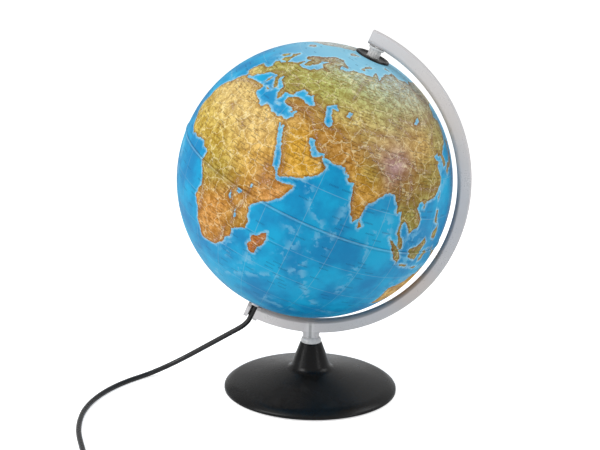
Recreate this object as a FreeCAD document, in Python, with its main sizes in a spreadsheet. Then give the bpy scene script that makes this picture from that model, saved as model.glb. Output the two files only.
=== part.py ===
import FreeCAD, Part
import math
import os
import re

import Sketcher

# Illuminated desktop globe, 30 cm, on a round base with a translucent C arm.
# Millimetres. Z up, origin at the centre of the base's underside. The arm lies in the
# XZ plane and the globe's polar axis leans from the vertical towards +X.

V = FreeCAD.Vector

# Driving dimensions: name and value, kept in the sheet "Sizes".
SIZES = {
    "globe_radius": 150.0,
    "globe_height": 242.0,
    "axis_tilt": 23.5,
    "shell_wall": 1.6,
    "lip_height": 0.8,
    "lip_width": 2.0,
    "cap_radius": 18.95,
    "cap_hole": 16.0,
    "bush_radius": 7.6,
    "collar_hole": 9.0,
    "joint_ring_half": 6.0,
    "arm_inner": 161.2,
    "arm_outer": 176.0,
    "arm_width": 12.0,
    "arm_shift_x": -6.05,
    "arm_shift_z": -0.12,
    "arm_end_angle": 91.6,
    "arm_inner_round": 4.8,
    "arm_outer_round": 0.9,
    "boss_half": 8.0,
    "boss_end": 177.8,
    "slot_radius": 3.6,
    "stem_half": 8.1,
    "stem_foot": 62.1,
    "spigot_radius": 7.0,
    "pivot_radius": 4.5,
    "sleeve_radius": 6.75,
    "sleeve_end": 150.2,
    "flange_radius": 8.5,
    "north_seat": 160.6,
    "south_seat": 161.2,
    "tube_radius": 6.0,
    "tube_bore": 4.1,
    "tube_thread": 5.0,
    "running_gap": 0.05,
    "rim_radius": 97.4,
    "rim_low": 1.8,
    "rim_height": 4.6,
    "shoulder_radius": 91.5,
    "shoulder_height": 9.6,
    "foot_radius": 91.0,
    "foot_height": 0.6,
    "base_wall": 3.0,
    "cone_foot": 23.0,
    "cone_foot_height": 26.0,
    "hub_radius": 16.0,
    "cone_top": 12.4,
    "base_height": 55.9,
    "boss_floor": 15.2,
    "post_circle": 82.0,
    "pad_radius": 87.0,
    "pad_height": 1.4,
    "cover_top": 2.8,
    "screw_radius": 2.5,
    "ring_radius": 11.3,
    "lead_radius": 2.9,
    "lead_start": 157.0,
    "boot_top": 140.0,
    "boot_end": 168.0,
    "coil_mean_outer": 32.0,
    "coil_mean_inner": 26.0,
    "coil_lift": 0.95,
    "coil_layers": 3.0,
    "switch_length": 56.0,
    "switch_width": 25.0,
    "switch_half_height": 7.5,
    "rocker_width": 10.6,
    "rocker_pivot": 10.6,
    "plug_thickness": 13.7,
    "pin_radius": 2.0,
    "pin_spacing": 19.0,
}

# Angle of the switch rocker in its off position, degrees.
ROCKER_REST = 8.0
# Angles at which the cover screws stand round the base, degrees.
SCREW_ANGLES = (90.0, 210.0, 330.0)
# Share of the shorter run that an arc of the lead takes up on each side of its corner.
ARC_SHARE = 0.45

# Route of the free lead: corners after the exit on the polar axis, up to the switch.
LEAD_CORNERS = [
    (-95.0, 0.0, 56.5),
    (-177.0, 0.5, 2.95),
    (-212.0, -58.0, 2.95),
    (-222.0, -120.0, 2.95),
    (-208.0, -180.0, 2.95),
    (-180.0, -232.0, 2.95),
    (-158.0, -268.0, 2.95),
    (-124.0, -286.0, 4.5),
    (-90.0, -286.0, 7.5),
]
# Distances from the globe's centre, down the polar axis, of the lead's first corners.
FIRST_CORNERS = (172.0, 188.0)
# Turns smaller than this, in radians, are left straight.
LEAST_TURN = 0.02
LINK_ROUTE = [(-34.0, -286.0, 7.5), (-6.0, -286.0, 4.6), (16.3, -271.4, 3.85)]
TAIL_ROUTE = [(70.2, -264.8, 13.4), (97.0, -274.0, 6.6), (120.0, -276.0, 6.85)]
SWITCH_CENTRE = (-62.0, -286.0, 0.0)
COIL_CENTRE = (46.0, -290.0, 0.0)
PLUG_BACK = (120.0, -276.0, 0.0)

os.makedirs("parts", exist_ok=True)
doc = FreeCAD.newDocument("DesktopGlobe")
sheet = doc.addObject("Spreadsheet::Sheet", "Sizes")
for row, (alias, number) in enumerate(SIZES.items(), start=1):
    sheet.set(f"A{row}", alias)
    sheet.set(f"B{row}", str(number))
    sheet.setAlias(f"B{row}", alias)
doc.recompute()

tilt = math.radians(SIZES["axis_tilt"])
globe_centre = V(0, 0, SIZES["globe_height"])
polar_axis = V(math.sin(tilt), 0, math.cos(tilt))
upright = FreeCAD.Placement()
polar = FreeCAD.Placement(globe_centre, FreeCAD.Rotation(V(0, 1, 0), SIZES["axis_tilt"]))
subparts = []


def linked(formula):
    """Return the formula with the sheet's name in front of each of its aliases."""
    def named(match):
        word = match.group()
        return f"Sizes.{word}" if word in SIZES else word

    return re.sub(r"[a-z_]+", named, str(formula))


def keep(piece, label):
    """Name a finished sub-part and put it on the list of those written out."""
    piece.Label = label
    subparts.append(piece)
    return piece


def new_body(label, placement=upright):
    """Return an empty body with its placement set."""
    body = doc.addObject("PartDesign::Body", label)
    body.Placement = placement
    return body


def new_sketch(body, role="XZ_Plane", lift="0"):
    """Return a sketch on one of the body's own planes, lifted along that plane's normal."""
    sketch = body.newObject("Sketcher::SketchObject", body.Name + "Sketch")
    plane = [item for item in body.Origin.OriginFeatures if item.Role == role][0]
    sketch.AttachmentSupport = [(plane, "")]
    sketch.MapMode = "FlatFace"
    sketch.setExpression("AttachmentOffset.Base.z", linked(lift))
    return sketch


def drive(sketch, kind, place, formula):
    """Add a dimension whose value follows a formula of the sheet."""
    number = float(sketch.evalExpression(linked(formula)))
    index = sketch.addConstraint(Sketcher.Constraint(kind, *place, number))
    sketch.setExpression(f"Constraints[{index}]", linked(formula))


def outline(sketch, corners):
    """Draw a closed polygon whose corners follow pairs of formulas."""
    points = []
    for across, up in corners:
        x = float(sketch.evalExpression(linked(across)))
        y = float(sketch.evalExpression(linked(up)))
        points.append(V(x, y, 0))
    count = len(points)
    lines = []
    for index in range(count):
        side = Part.LineSegment(points[index], points[(index + 1) % count])
        lines.append(sketch.addGeometry(side, False))
    for index in range(count):
        following = lines[(index + 1) % count]
        sketch.addConstraint(Sketcher.Constraint("Coincident", lines[index], 2, following, 1))
    for line, (across, up) in zip(lines, corners):
        drive(sketch, "DistanceX", (-1, 1, line, 1), across)
        drive(sketch, "DistanceY", (-1, 1, line, 1), up)


def circle(sketch, centre, radius):
    """Draw a circle whose centre and radius follow formulas."""
    x, y = [float(sketch.evalExpression(linked(part))) for part in centre]
    size = float(sketch.evalExpression(linked(radius)))
    ring = sketch.addGeometry(Part.Circle(V(x, y, 0), V(0, 0, 1), size), False)
    drive(sketch, "DistanceX", (-1, 1, ring, 3), centre[0])
    drive(sketch, "DistanceY", (-1, 1, ring, 3), centre[1])
    drive(sketch, "Radius", (ring,), radius)


def revolve(body, sketch):
    """Turn a sketch about the body's vertical axis."""
    feature = body.newObject("PartDesign::Revolution", body.Name + "Turned")
    feature.Profile = sketch
    feature.ReferenceAxis = (sketch, ["V_Axis"])
    feature.Angle = 360
    return feature


def turned(label, corners, placement=upright):
    """Make a body by turning a polygon of (radius, height) about the Z axis."""
    body = new_body(label, placement)
    sketch = new_sketch(body)
    outline(sketch, corners)
    revolve(body, sketch)
    return keep(body, label)


def extrude(body, sketch, length, kind="PartDesign::Pad", both=False, back=False):
    """Pad or pocket a sketch by a length that follows a formula."""
    feature = body.newObject(kind, body.Name + "Extruded")
    feature.Profile = sketch
    feature.setExpression("Length", linked(length))
    feature.SideType = "Symmetric" if both else "One side"
    feature.Reversed = back
    return feature


def edges_where(feature, wanted):
    """Return the names of the edges of a feature for which the test holds."""
    doc.recompute()
    edges = feature.Shape.Edges
    return [f"Edge{index}" for index, edge in enumerate(edges, start=1) if wanted(edge)]


def round_edges(body, feature, wanted, radius):
    """Fillet the chosen edges of a body's feature."""
    names = edges_where(feature, wanted)
    fillet = body.newObject("PartDesign::Fillet", body.Name + "Round")
    fillet.Base = (feature, names)
    fillet.setExpression("Radius", linked(radius))
    body.Tip = fillet
    return fillet


def is_upright(edge):
    """Tell whether an edge is a straight vertical line."""
    return isinstance(edge.Curve, Part.Line) and abs(edge.tangentAt(0).z) > 0.9


def is_circle(edge, radius, height=None):
    """Tell whether an edge is a circle of this radius, at this height where one is given."""
    if not isinstance(edge.Curve, Part.Circle):
        return False
    right_size = abs(edge.Curve.Radius - radius) < 0.05
    return right_size and (height is None or abs(edge.Curve.Center.z - height) < 0.05)


def cylinder(name, radius, bottom, top, placement=upright):
    """Return a cylinder between two heights of a frame, sizes bound to the sheet."""
    rod = doc.addObject("Part::Cylinder", name)
    rod.setExpression("Radius", linked(radius))
    rod.setExpression("Height", linked(f"({top}) - ({bottom})"))
    foot = float(rod.evalExpression(linked(bottom)))
    rod.Placement = placement.multiply(FreeCAD.Placement(V(0, 0, foot), FreeCAD.Rotation()))
    return rod


def fused(name, pieces):
    """Return the union of several objects."""
    union = doc.addObject("Part::MultiFuse", name)
    union.Shapes = pieces
    return union


def cut(name, base, tool):
    """Return one object with another cut from it."""
    difference = doc.addObject("Part::Cut", name)
    difference.Base = base
    difference.Tool = tool
    return difference


def grouped(label, pieces):
    """Join separate solids of one kind into one sub-part."""
    group = doc.addObject("Part::Compound", label)
    group.Links = pieces
    return keep(group, label)


# ---------------------------------------------------------------- globe

def half_shell(label, side, hole):
    """Make one half of the globe: a hollow hemisphere with a round hole at its pole."""
    body = new_body(label, polar)
    sketch = new_sketch(body)
    outer = SIZES["globe_radius"]
    inner = outer - SIZES["shell_wall"]
    gap = SIZES[hole]
    pole = side * math.pi / 2
    arcs = []
    for radius in (outer, inner):
        stop = side * math.acos(gap / radius)
        ends = sorted((0.0, stop))
        arc = Part.ArcOfCircle(Part.Circle(V(0, 0, 0), V(0, 0, 1), radius), *ends)
        arcs.append(sketch.addGeometry(arc, False))
    rim, tip = (1, 2) if pole > 0 else (2, 1)
    seam = sketch.addGeometry(Part.LineSegment(V(inner, 0, 0), V(outer, 0, 0)), False)
    edge_low = side * math.sqrt(inner ** 2 - gap ** 2)
    edge_high = side * math.sqrt(outer ** 2 - gap ** 2)
    edge = sketch.addGeometry(Part.LineSegment(V(gap, edge_high, 0), V(gap, edge_low, 0)), False)
    for arc, radius in zip(arcs, ("globe_radius", "globe_radius - shell_wall")):
        sketch.addConstraint(Sketcher.Constraint("Coincident", arc, 3, -1, 1))
        drive(sketch, "Radius", (arc,), radius)
        sketch.addConstraint(Sketcher.Constraint("PointOnObject", arc, rim, -1))
        drive(sketch, "DistanceX", (-1, 1, arc, tip), hole)
    sketch.addConstraint(Sketcher.Constraint("Coincident", seam, 2, arcs[0], rim))
    sketch.addConstraint(Sketcher.Constraint("Coincident", seam, 1, arcs[1], rim))
    sketch.addConstraint(Sketcher.Constraint("Coincident", edge, 1, arcs[0], tip))
    sketch.addConstraint(Sketcher.Constraint("Coincident", edge, 2, arcs[1], tip))
    revolve(body, sketch)
    return keep(body, label)


def make_globe():
    """Build the turning globe: two shells, their joint, the cap and both bearings."""
    half_shell("north_shell", 1, "cap_hole")
    south = half_shell("south_shell", -1, "collar_hole")
    lip = new_sketch(south)
    outline(lip, [
        ("globe_radius - 0.9", "-lip_width"),
        ("globe_radius + lip_height * 0.5", "-lip_width"),
        ("globe_radius + lip_height", "-lip_width * 0.6"),
        ("globe_radius + lip_height", "-0.3"),
        ("globe_radius + lip_height * 0.6", "0"),
        ("globe_radius - 0.9", "0"),
    ])
    revolve(south, lip)
    turned("equator_joint_ring", [
        ("globe_radius - shell_wall - 1.8", "-joint_ring_half"),
        ("globe_radius - shell_wall - 0.2", "-joint_ring_half"),
        ("globe_radius - shell_wall - 0.2", "joint_ring_half"),
        ("globe_radius - shell_wall - 1.8", "joint_ring_half"),
    ], polar)
    turned("north_pole_cap", [
        ("bush_radius", "globe_radius - 2.4"),
        ("cap_hole - 0.4", "globe_radius - 2.4"),
        ("cap_hole - 0.4", "globe_radius - 0.75"),
        ("cap_radius", "globe_radius - 1.15"),
        ("cap_radius", "globe_radius + 0.2"),
        ("cap_radius - 0.9", "globe_radius + 1.1"),
        ("cap_radius - 2.4", "globe_radius + 1.1"),
        ("cap_radius - 5", "globe_radius - 0.4"),
        ("bush_radius", "globe_radius - 0.4"),
    ], polar)
    turned("north_pole_bush", [
        ("pivot_radius + running_gap", "globe_radius - 10"),
        ("bush_radius", "globe_radius - 10"),
        ("bush_radius", "globe_radius - 0.6"),
        ("pivot_radius + running_gap", "globe_radius - 0.6"),
    ], polar)
    turned("south_collar", [
        ("tube_radius + running_gap", "-globe_radius + 9"),
        ("collar_hole", "-globe_radius + 9"),
        ("collar_hole", "-globe_radius - 0.05"),
        ("collar_hole + 4.5", "-globe_radius + 0.2"),
        ("collar_hole + 4.5", "-globe_radius - 0.8"),
        ("collar_hole + 3.3", "-globe_radius - 1.9"),
        ("tube_radius + running_gap", "-globe_radius - 1.9"),
    ], polar)


# ---------------------------------------------------------------- arm

def hoop():
    """Return the C-shaped bar, with its inner edges well rounded."""
    body = new_body("Hoop", polar)
    sketch = new_sketch(body)
    centre = V(SIZES["arm_shift_x"], SIZES["arm_shift_z"], 0)
    stop = math.radians(SIZES["arm_end_angle"])
    arcs = []
    for name in ("arm_outer", "arm_inner"):
        arc = Part.ArcOfCircle(Part.Circle(centre, V(0, 0, 1), SIZES[name]), -math.pi / 2, stop)
        arcs.append(sketch.addGeometry(arc, False))
    for arc, name in zip(arcs, ("arm_outer", "arm_inner")):
        drive(sketch, "DistanceX", (-1, 1, arc, 3), "arm_shift_x")
        drive(sketch, "DistanceY", (-1, 1, arc, 3), "arm_shift_z")
        drive(sketch, "Radius", (arc,), name)
        drive(sketch, "DistanceX", (-1, 1, arc, 1), "arm_shift_x")
        drive(sketch, "DistanceX", (-1, 1, arc, 2), f"arm_shift_x + {name} * cos(arm_end_angle * 1deg)")
    for end in (1, 2):
        points = [sketch.getPoint(arc, end) for arc in arcs]
        side = sketch.addGeometry(Part.LineSegment(*points), False)
        sketch.addConstraint(Sketcher.Constraint("Coincident", side, 1, arcs[0], end))
        sketch.addConstraint(Sketcher.Constraint("Coincident", side, 2, arcs[1], end))
    pad = extrude(body, sketch, "arm_width", both=True)
    inner = round_edges(body, pad, lambda edge: is_circle(edge, SIZES["arm_inner"]), "arm_inner_round")
    round_edges(body, inner, lambda edge: is_circle(edge, SIZES["arm_outer"]), "arm_outer_round")
    return body


def slab(name, across, heights, placement):
    """Return a block as wide as the arm, between two heights of a frame."""
    body = new_body(name, placement)
    sketch = new_sketch(body)
    low, high = heights
    outline(sketch, [(f"-{across}", low), (across, low), (across, high), (f"-{across}", high)])
    extrude(body, sketch, "arm_width", both=True)
    return body


def make_arm():
    """Build the C arm in one piece with its end boss, stem and spigot, and its bores."""
    boss = slab("EndBoss", "boss_half", ("-boss_end", "-arm_inner"), polar)
    stem = slab("Stem", "stem_half", ("stem_foot", "stem_foot + 19"), upright)
    spigot = cylinder("Spigot", "spigot_radius", "24", "stem_foot + 1", upright)
    solid = fused("ArmSolid", [hoop(), boss, stem, spigot])
    doc.recompute()
    crotch = doc.addObject("Part::Fillet", "ArmFillet")
    crotch.Base = solid
    half = SIZES["stem_half"]
    corners = []
    for index, edge in enumerate(solid.Shape.Edges, start=1):
        middle = edge.CenterOfMass
        along_y = isinstance(edge.Curve, Part.Line) and abs(edge.Length - SIZES["arm_width"]) < 2.5
        if along_y and abs(abs(middle.x) - half) < 0.1 and middle.z > SIZES["stem_foot"] + 2:
            corners.append((index, 2.4, 2.4))
    crotch.Edges = corners
    slot_box = doc.addObject("Part::Box", "SlotBox")
    slot_box.setExpression("Length", linked("slot_radius * 2"))
    slot_box.setExpression("Width", linked("arm_width"))
    slot_box.Height = 30
    offset = V(-SIZES["slot_radius"], -SIZES["arm_width"], -SIZES["boss_end"] - 5)
    slot_box.Placement = polar.multiply(FreeCAD.Placement(offset, FreeCAD.Rotation()))
    bores = fused("ArmBores", [
        slot_box,
        cylinder("SlotBack", "slot_radius", "-boss_end - 5", "-boss_end + 25", polar),
        cylinder("NorthSeat", "flange_radius + 0.1", "globe_radius", "north_seat", polar),
        cylinder("NorthBore", "3.2", "globe_radius", "170", polar),
        cylinder("SouthSeat", "flange_radius - 0.3", "-south_seat", "-globe_radius", polar),
        cylinder("TieBore", "screw_radius", "20", "73", upright),
    ])
    keep(cut("meridian_arm", crotch, bores), "meridian_arm")


# ---------------------------------------------------------------- pivots

def make_pivots():
    """Build the fluted pivot pin at the north and the hollow pivot tube at the south."""
    pin = new_body("north_pivot_pin", polar)
    profile = new_sketch(pin)
    outline(profile, [
        ("0", "globe_radius - 9"),
        ("pivot_radius - 0.6", "globe_radius - 9"),
        ("pivot_radius", "globe_radius - 8.4"),
        ("pivot_radius", "sleeve_end"),
        ("sleeve_radius", "sleeve_end"),
        ("sleeve_radius", "north_seat - 2.6"),
        ("flange_radius - 0.4", "north_seat - 2.2"),
        ("flange_radius", "north_seat - 1.8"),
        ("flange_radius", "north_seat"),
        ("3.2", "north_seat"),
        ("3.2", "169.8"),
        ("0", "169.8"),
    ])
    revolve(pin, profile)
    flute = new_sketch(pin, "XY_Plane", "sleeve_end")
    circle(flute, ("sleeve_radius + 0.5", "0"), "0.9")
    groove = extrude(pin, flute, "north_seat - 3.4 - sleeve_end", "PartDesign::Pocket", back=True)
    ribs = pin.newObject("PartDesign::PolarPattern", "PinFlutes")
    ribs.Originals = [groove]
    ribs.Axis = (profile, ["V_Axis"])
    ribs.Angle = 360
    ribs.Occurrences = 14
    pin.Tip = ribs
    keep(pin, "north_pivot_pin")
    turned("south_pivot_tube", [
        ("tube_bore", "-south_seat"),
        ("flange_radius - 0.5", "-south_seat"),
        ("flange_radius - 0.5", "-south_seat + 2.5"),
        ("tube_radius", "-south_seat + 2.5"),
        ("tube_radius", "-56"),
        ("tube_thread", "-55"),
        ("tube_thread", "-42"),
        ("tube_bore", "-42"),
    ], polar)
    nut = new_body("tube_nut", polar)
    across = new_sketch(nut, "XY_Plane", "-54.9")
    corner = "17 / sqrt(3)"
    outline(across, [(f"{corner} * cos({a}deg)", f"{corner} * sin({a}deg)") for a in range(0, 360, 60)])
    circle(across, ("0", "0"), "tube_thread")
    extrude(nut, across, "3.8")
    keep(nut, "tube_nut")


# ---------------------------------------------------------------- lamp

def make_lamp():
    """Build the small screw lamp holder and its bulb, upright on the pivot tube."""
    turned("lamp_holder_base", [
        ("tube_thread", "-51.1"),
        ("13", "-51.1"),
        ("14", "-49"),
        ("14", "-36"),
        ("12.4", "-36"),
        ("12.4", "-48.6"),
        ("tube_thread", "-48.6"),
    ], polar)
    turned("lamp_holder_shell", [
        ("9.5", "-36"),
        ("14", "-36"),
        ("14", "-9"),
        ("9.5", "-7"),
        ("9.5", "-8.6"),
        ("12.4", "-10"),
        ("12.4", "-33.5"),
        ("9.5", "-33.5"),
    ], polar)
    turned("lamp_thread_sleeve", [
        ("7.1", "-32"),
        ("9.4", "-32"),
        ("9.4", "-31"),
        ("8", "-31"),
        ("8", "-11"),
        ("7.1", "-11"),
    ], polar)
    keep(cylinder("centre_contact", "3.6", "-35.5", "-31.6", polar), "centre_contact")
    turned("bulb_cap", [
        ("0", "-31.6"),
        ("2.6", "-31.6"),
        ("5", "-28.4"),
        ("7", "-27"),
        ("7", "-8"),
        ("6", "-8"),
        ("6", "-26"),
        ("0", "-27"),
    ], polar)
    bulb = turned("bulb_glass", [
        ("0", "47"),
        ("6", "46"),
        ("11", "41.5"),
        ("13.4", "34"),
        ("13.2", "26"),
        ("10.6", "14"),
        ("8", "2"),
        ("7", "-7.9"),
        ("6.1", "-7.9"),
        ("7.1", "2.4"),
        ("9.8", "14.4"),
        ("12.4", "26"),
        ("12.5", "33.8"),
        ("10.3", "40.8"),
        ("5.6", "45.2"),
        ("0", "46.2"),
    ], polar)
    coil = doc.addObject("Part::Torus", "FilamentArc")
    coil.Radius1 = 5
    coil.Radius2 = 0.35
    coil.Angle3 = 180
    coil.Placement = polar.multiply(FreeCAD.Placement(V(0, 0, 24), FreeCAD.Rotation(V(1, 0, 0), 90)))
    legs = []
    for side in (-5, 5):
        leg = cylinder("FilamentLeg", "0.35", "-8", "24", polar)
        leg.Placement = polar.multiply(FreeCAD.Placement(V(side, 0, -8), FreeCAD.Rotation()))
        legs.append(leg)
    keep(fused("bulb_filament", [coil] + legs), "bulb_filament")
    wires = []
    for side in (-1.6, 1.6):
        wire = cylinder("LampWire", "1", "-60", "-37", polar)
        wire.Placement = polar.multiply(FreeCAD.Placement(V(side, 0, -60), FreeCAD.Rotation()))
        wires.append(wire)
    grouped("lamp_wires", wires)


# ---------------------------------------------------------------- base

def make_base():
    """Build the round base: shell with cone, weight, cover, pad, ring and fastenings."""
    base = new_body("base_shell")
    section = new_sketch(base)
    outline(section, [
        ("spigot_radius + running_gap", "boss_floor"),
        ("hub_radius", "boss_floor"),
        ("hub_radius", "cone_foot_height - base_wall"),
        ("cone_foot + 1", "cone_foot_height - base_wall"),
        ("foot_radius - base_wall", "shoulder_height - base_wall"),
        ("foot_radius - base_wall", "foot_height"),
        ("foot_radius", "foot_height"),
        ("rim_radius", "rim_low"),
        ("rim_radius", "rim_height"),
        ("shoulder_radius", "shoulder_height"),
        ("cone_foot", "cone_foot_height"),
        ("cone_top", "base_height - 1"),
        ("cone_top - 0.8", "base_height"),
        ("spigot_radius + running_gap", "base_height"),
    ])
    solid = revolve(base, section)
    rounded = solid
    for ring_name, rounding in (("rim", "3"), ("shoulder", "22"), ("cone_foot", "9")):
        radius_name = ring_name if ring_name in SIZES else ring_name + "_radius"
        place = (SIZES[radius_name], SIZES[ring_name + "_height"])
        rounded = round_edges(base, rounded, lambda edge, place=place: is_circle(edge, *place), rounding)
    shelf = new_sketch(base, "XY_Plane", "boss_floor")
    circle(shelf, ("0", "0"), "spigot_radius + 2")
    circle(shelf, ("0", "0"), "screw_radius + 0.2")
    extrude(base, shelf, "8.8")
    posts = new_sketch(base, "XY_Plane", "cover_top")
    for angle in SCREW_ANGLES:
        centre = (f"post_circle * cos({angle}deg)", f"post_circle * sin({angle}deg)")
        circle(posts, centre, "3")
        circle(posts, centre, "1.3")
    extrude(base, posts, "7.2")
    keep(base, "base_shell")
    turned("ballast_plate", [("10", "3"), ("78", "3"), ("78", "6.8"), ("10", "6.8")])
    cover = new_body("base_cover")
    plate = new_sketch(cover, "XY_Plane", "pad_height")
    circle(plate, ("0", "0"), "foot_radius - base_wall - 0.2")
    extrude(cover, plate, "cover_top - pad_height")
    screws = []
    holes = new_sketch(cover, "XY_Plane", "pad_height")
    counterbores = new_sketch(cover, "XY_Plane", "pad_height")
    for angle in SCREW_ANGLES:
        centre = (f"post_circle * cos({angle}deg)", f"post_circle * sin({angle}deg)")
        circle(holes, centre, "1.5")
        circle(counterbores, centre, "2.9")
        place = FreeCAD.Placement(V(0, 0, 0), FreeCAD.Rotation(V(0, 0, 1), angle))
        place = place.multiply(FreeCAD.Placement(V(SIZES["post_circle"], 0, 0), FreeCAD.Rotation()))
        head = cylinder("ScrewHead", "2.7", "pad_height + 0.05", "2.2", place)
        shank = cylinder("ScrewShank", "1.3", "2.1", "5.8", place)
        screws.append(fused("CoverScrew", [head, shank]))
    extrude(cover, holes, "cover_top", "PartDesign::Pocket", back=True)
    extrude(cover, counterbores, "0.8", "PartDesign::Pocket", back=True)
    keep(cover, "base_cover")
    grouped("cover_screws", screws)
    keep(cylinder("base_pad", "pad_radius", "0", "pad_height"), "base_pad")
    ring = new_body("ribbed_ring")
    band = new_sketch(ring)
    outline(band, [
        ("spigot_radius + 0.1", "base_height + 0.1"),
        ("ring_radius - 0.5", "base_height + 0.1"),
        ("ring_radius", "base_height + 0.6"),
        ("ring_radius", "stem_foot - 0.1"),
        ("spigot_radius + 0.1", "stem_foot - 0.1"),
    ])
    ring_top = SIZES["stem_foot"] - 0.1
    turned_band = revolve(ring, band)
    round_edges(ring, turned_band, lambda edge: is_circle(edge, SIZES["ring_radius"], ring_top), "3.6")
    notch = new_sketch(ring, "XY_Plane", "base_height")
    circle(notch, ("ring_radius + 0.7", "0"), "1.2")
    groove = extrude(ring, notch, "3.4", "PartDesign::Pocket", back=True)
    notches = ring.newObject("PartDesign::PolarPattern", "RingNotches")
    notches.Originals = [groove]
    notches.Axis = (band, ["V_Axis"])
    notches.Angle = 360
    notches.Occurrences = 16
    ring.Tip = notches
    keep(ring, "ribbed_ring")
    turned("tie_washer", [
        ("screw_radius + 0.2", "boss_floor - 1.2"),
        ("6.5", "boss_floor - 1.2"),
        ("6.5", "boss_floor"),
        ("screw_radius + 0.2", "boss_floor"),
    ])
    head = cylinder("TieHead", "4.25", "9.4", "boss_floor - 1.2")
    socket = doc.addObject("Part::Prism", "TieSocket")
    socket.Polygon = 6
    socket.Circumradius = 2.3
    socket.Height = 2.6
    socket.Placement = FreeCAD.Placement(V(0, 0, 9.3), FreeCAD.Rotation())
    shank = cylinder("TieShank", "screw_radius", "boss_floor - 1.3", "72")
    keep(cut("tie_screw", fused("TieSolid", [head, shank]), socket), "tie_screw")


# ---------------------------------------------------------------- mains lead

def bent_tube(label, route):
    """Sweep the lead's round section along straight runs joined by tangent arcs."""
    points = [V(*point) for point in route]
    edges = []
    start = points[0]
    for before, corner, after in zip(points, points[1:], points[2:]):
        back = before - corner
        ahead = after - corner
        turn = math.pi - back.getAngle(ahead)
        if turn < LEAST_TURN:
            continue
        trim = ARC_SHARE * min(back.Length, ahead.Length)
        radius = trim / math.tan(turn / 2)
        back.normalize()
        ahead.normalize()
        enter = corner + back * trim
        leave = corner + ahead * trim
        inward = back + ahead
        inward.normalize()
        middle = corner + inward * (radius / math.cos(turn / 2) - radius)
        edges.append(Part.LineSegment(start, enter).toShape())
        edges.append(Part.Arc(enter, middle, leave).toShape())
        start = leave
        print(f"{label}: bend radius {radius:.1f} mm, turn {math.degrees(turn):.0f} degrees")
    edges.append(Part.LineSegment(start, points[-1]).toShape())
    path = Part.Wire(edges)
    ring = Part.Wire(Part.Circle(points[0], points[1] - points[0], SIZES["lead_radius"]).toShape())
    tube = doc.addObject("Part::Feature", label)
    tube.Shape = path.makePipeShell([ring], True, False)
    expected = math.pi * SIZES["lead_radius"] ** 2 * path.Length
    share = tube.Shape.Volume / expected
    print(f"{label}: length {path.Length:.1f} mm, volume over section x length {share:.4f}")
    return keep(tube, label)


def make_lead():
    """Build the mains lead with its strain relief, put-away coil and tie."""
    turned("cord_boot", [
        ("lead_radius", "-boot_end"),
        ("lead_radius + 0.35", "-boot_end"),
        ("slot_radius - 0.15", "-south_seat - 0.4"),
        ("tube_bore - 0.1", "-lead_start + 3"),
        ("tube_bore - 0.1", "-boot_top"),
        ("lead_radius", "-boot_top"),
    ], polar)
    keep(cylinder("lead_inner", "lead_radius", "-lead_start", "-60", polar), "lead_inner")
    start = globe_centre - polar_axis * SIZES["lead_start"]
    corners = [globe_centre - polar_axis * down for down in FIRST_CORNERS]
    bent_tube("mains_lead", [start] + corners + LEAD_CORNERS)
    bent_tube("lead_link", LINK_ROUTE)
    bent_tube("lead_tail", TAIL_ROUTE)
    place = FreeCAD.Placement(V(*COIL_CENTRE), FreeCAD.Rotation())
    coil = new_body("lead_coil", place)
    section = new_sketch(coil)
    crown = "coil_lift + coil_layers * lead_radius * 2 + 0.2"
    outline(section, [
        ("coil_mean_inner - lead_radius", "coil_lift"),
        ("coil_mean_outer + lead_radius", "coil_lift"),
        ("coil_mean_outer + lead_radius", crown),
        ("coil_mean_inner - lead_radius", crown),
    ])
    solid = revolve(coil, section)
    round_edges(coil, solid, lambda edge: isinstance(edge.Curve, Part.Circle), "lead_radius - 0.4")
    keep(coil, "lead_coil")
    tie = new_body("coil_tie", place)
    strap = new_sketch(tie)
    outline(strap, [
        ("coil_mean_inner - lead_radius - 1.5", "0.05"),
        ("coil_mean_outer + lead_radius + 1", "0.05"),
        ("coil_mean_outer + lead_radius + 1", crown + " + 0.9"),
        ("coil_mean_inner - lead_radius - 1.5", crown + " + 0.9"),
    ])
    outline(strap, [
        ("coil_mean_inner - lead_radius - 0.6", "coil_lift - 0.1"),
        ("coil_mean_outer + lead_radius + 0.1", "coil_lift - 0.1"),
        ("coil_mean_outer + lead_radius + 0.1", crown + " + 0.1"),
        ("coil_mean_inner - lead_radius - 0.6", crown + " + 0.1"),
    ])
    extrude(tie, strap, "9", both=True)
    keep(tie, "coil_tie")


# ---------------------------------------------------------------- switch

def switch_half(label, low, ceiling):
    """Return one half of the switch housing, with rounded ends and a hollow inside."""
    body = new_body(label, FreeCAD.Placement(V(*SWITCH_CENTRE), FreeCAD.Rotation()))
    plan = new_sketch(body, "XY_Plane", low)
    long_half = "switch_length / 2"
    short_half = "switch_width / 2"
    outline(plan, [
        (f"-{long_half}", f"-{short_half} + 6"),
        (f"-{long_half} + 7", f"-{short_half}"),
        (f"{long_half} - 7", f"-{short_half}"),
        (long_half, f"-{short_half} + 6"),
        (long_half, f"{short_half} - 6"),
        (f"{long_half} - 7", short_half),
        (f"-{long_half} + 7", short_half),
        (f"-{long_half}", f"{short_half} - 6"),
    ])
    pad = extrude(body, plan, "switch_half_height")
    round_edges(body, pad, is_upright, "3")
    hollow = new_sketch(body, "XY_Plane", ceiling)
    outline(hollow, [("-18", "-7.5"), ("18", "-7.5"), ("18", "7.5"), ("-18", "7.5")])
    extrude(body, hollow, "5", "PartDesign::Pocket", back=True)
    return body


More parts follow.
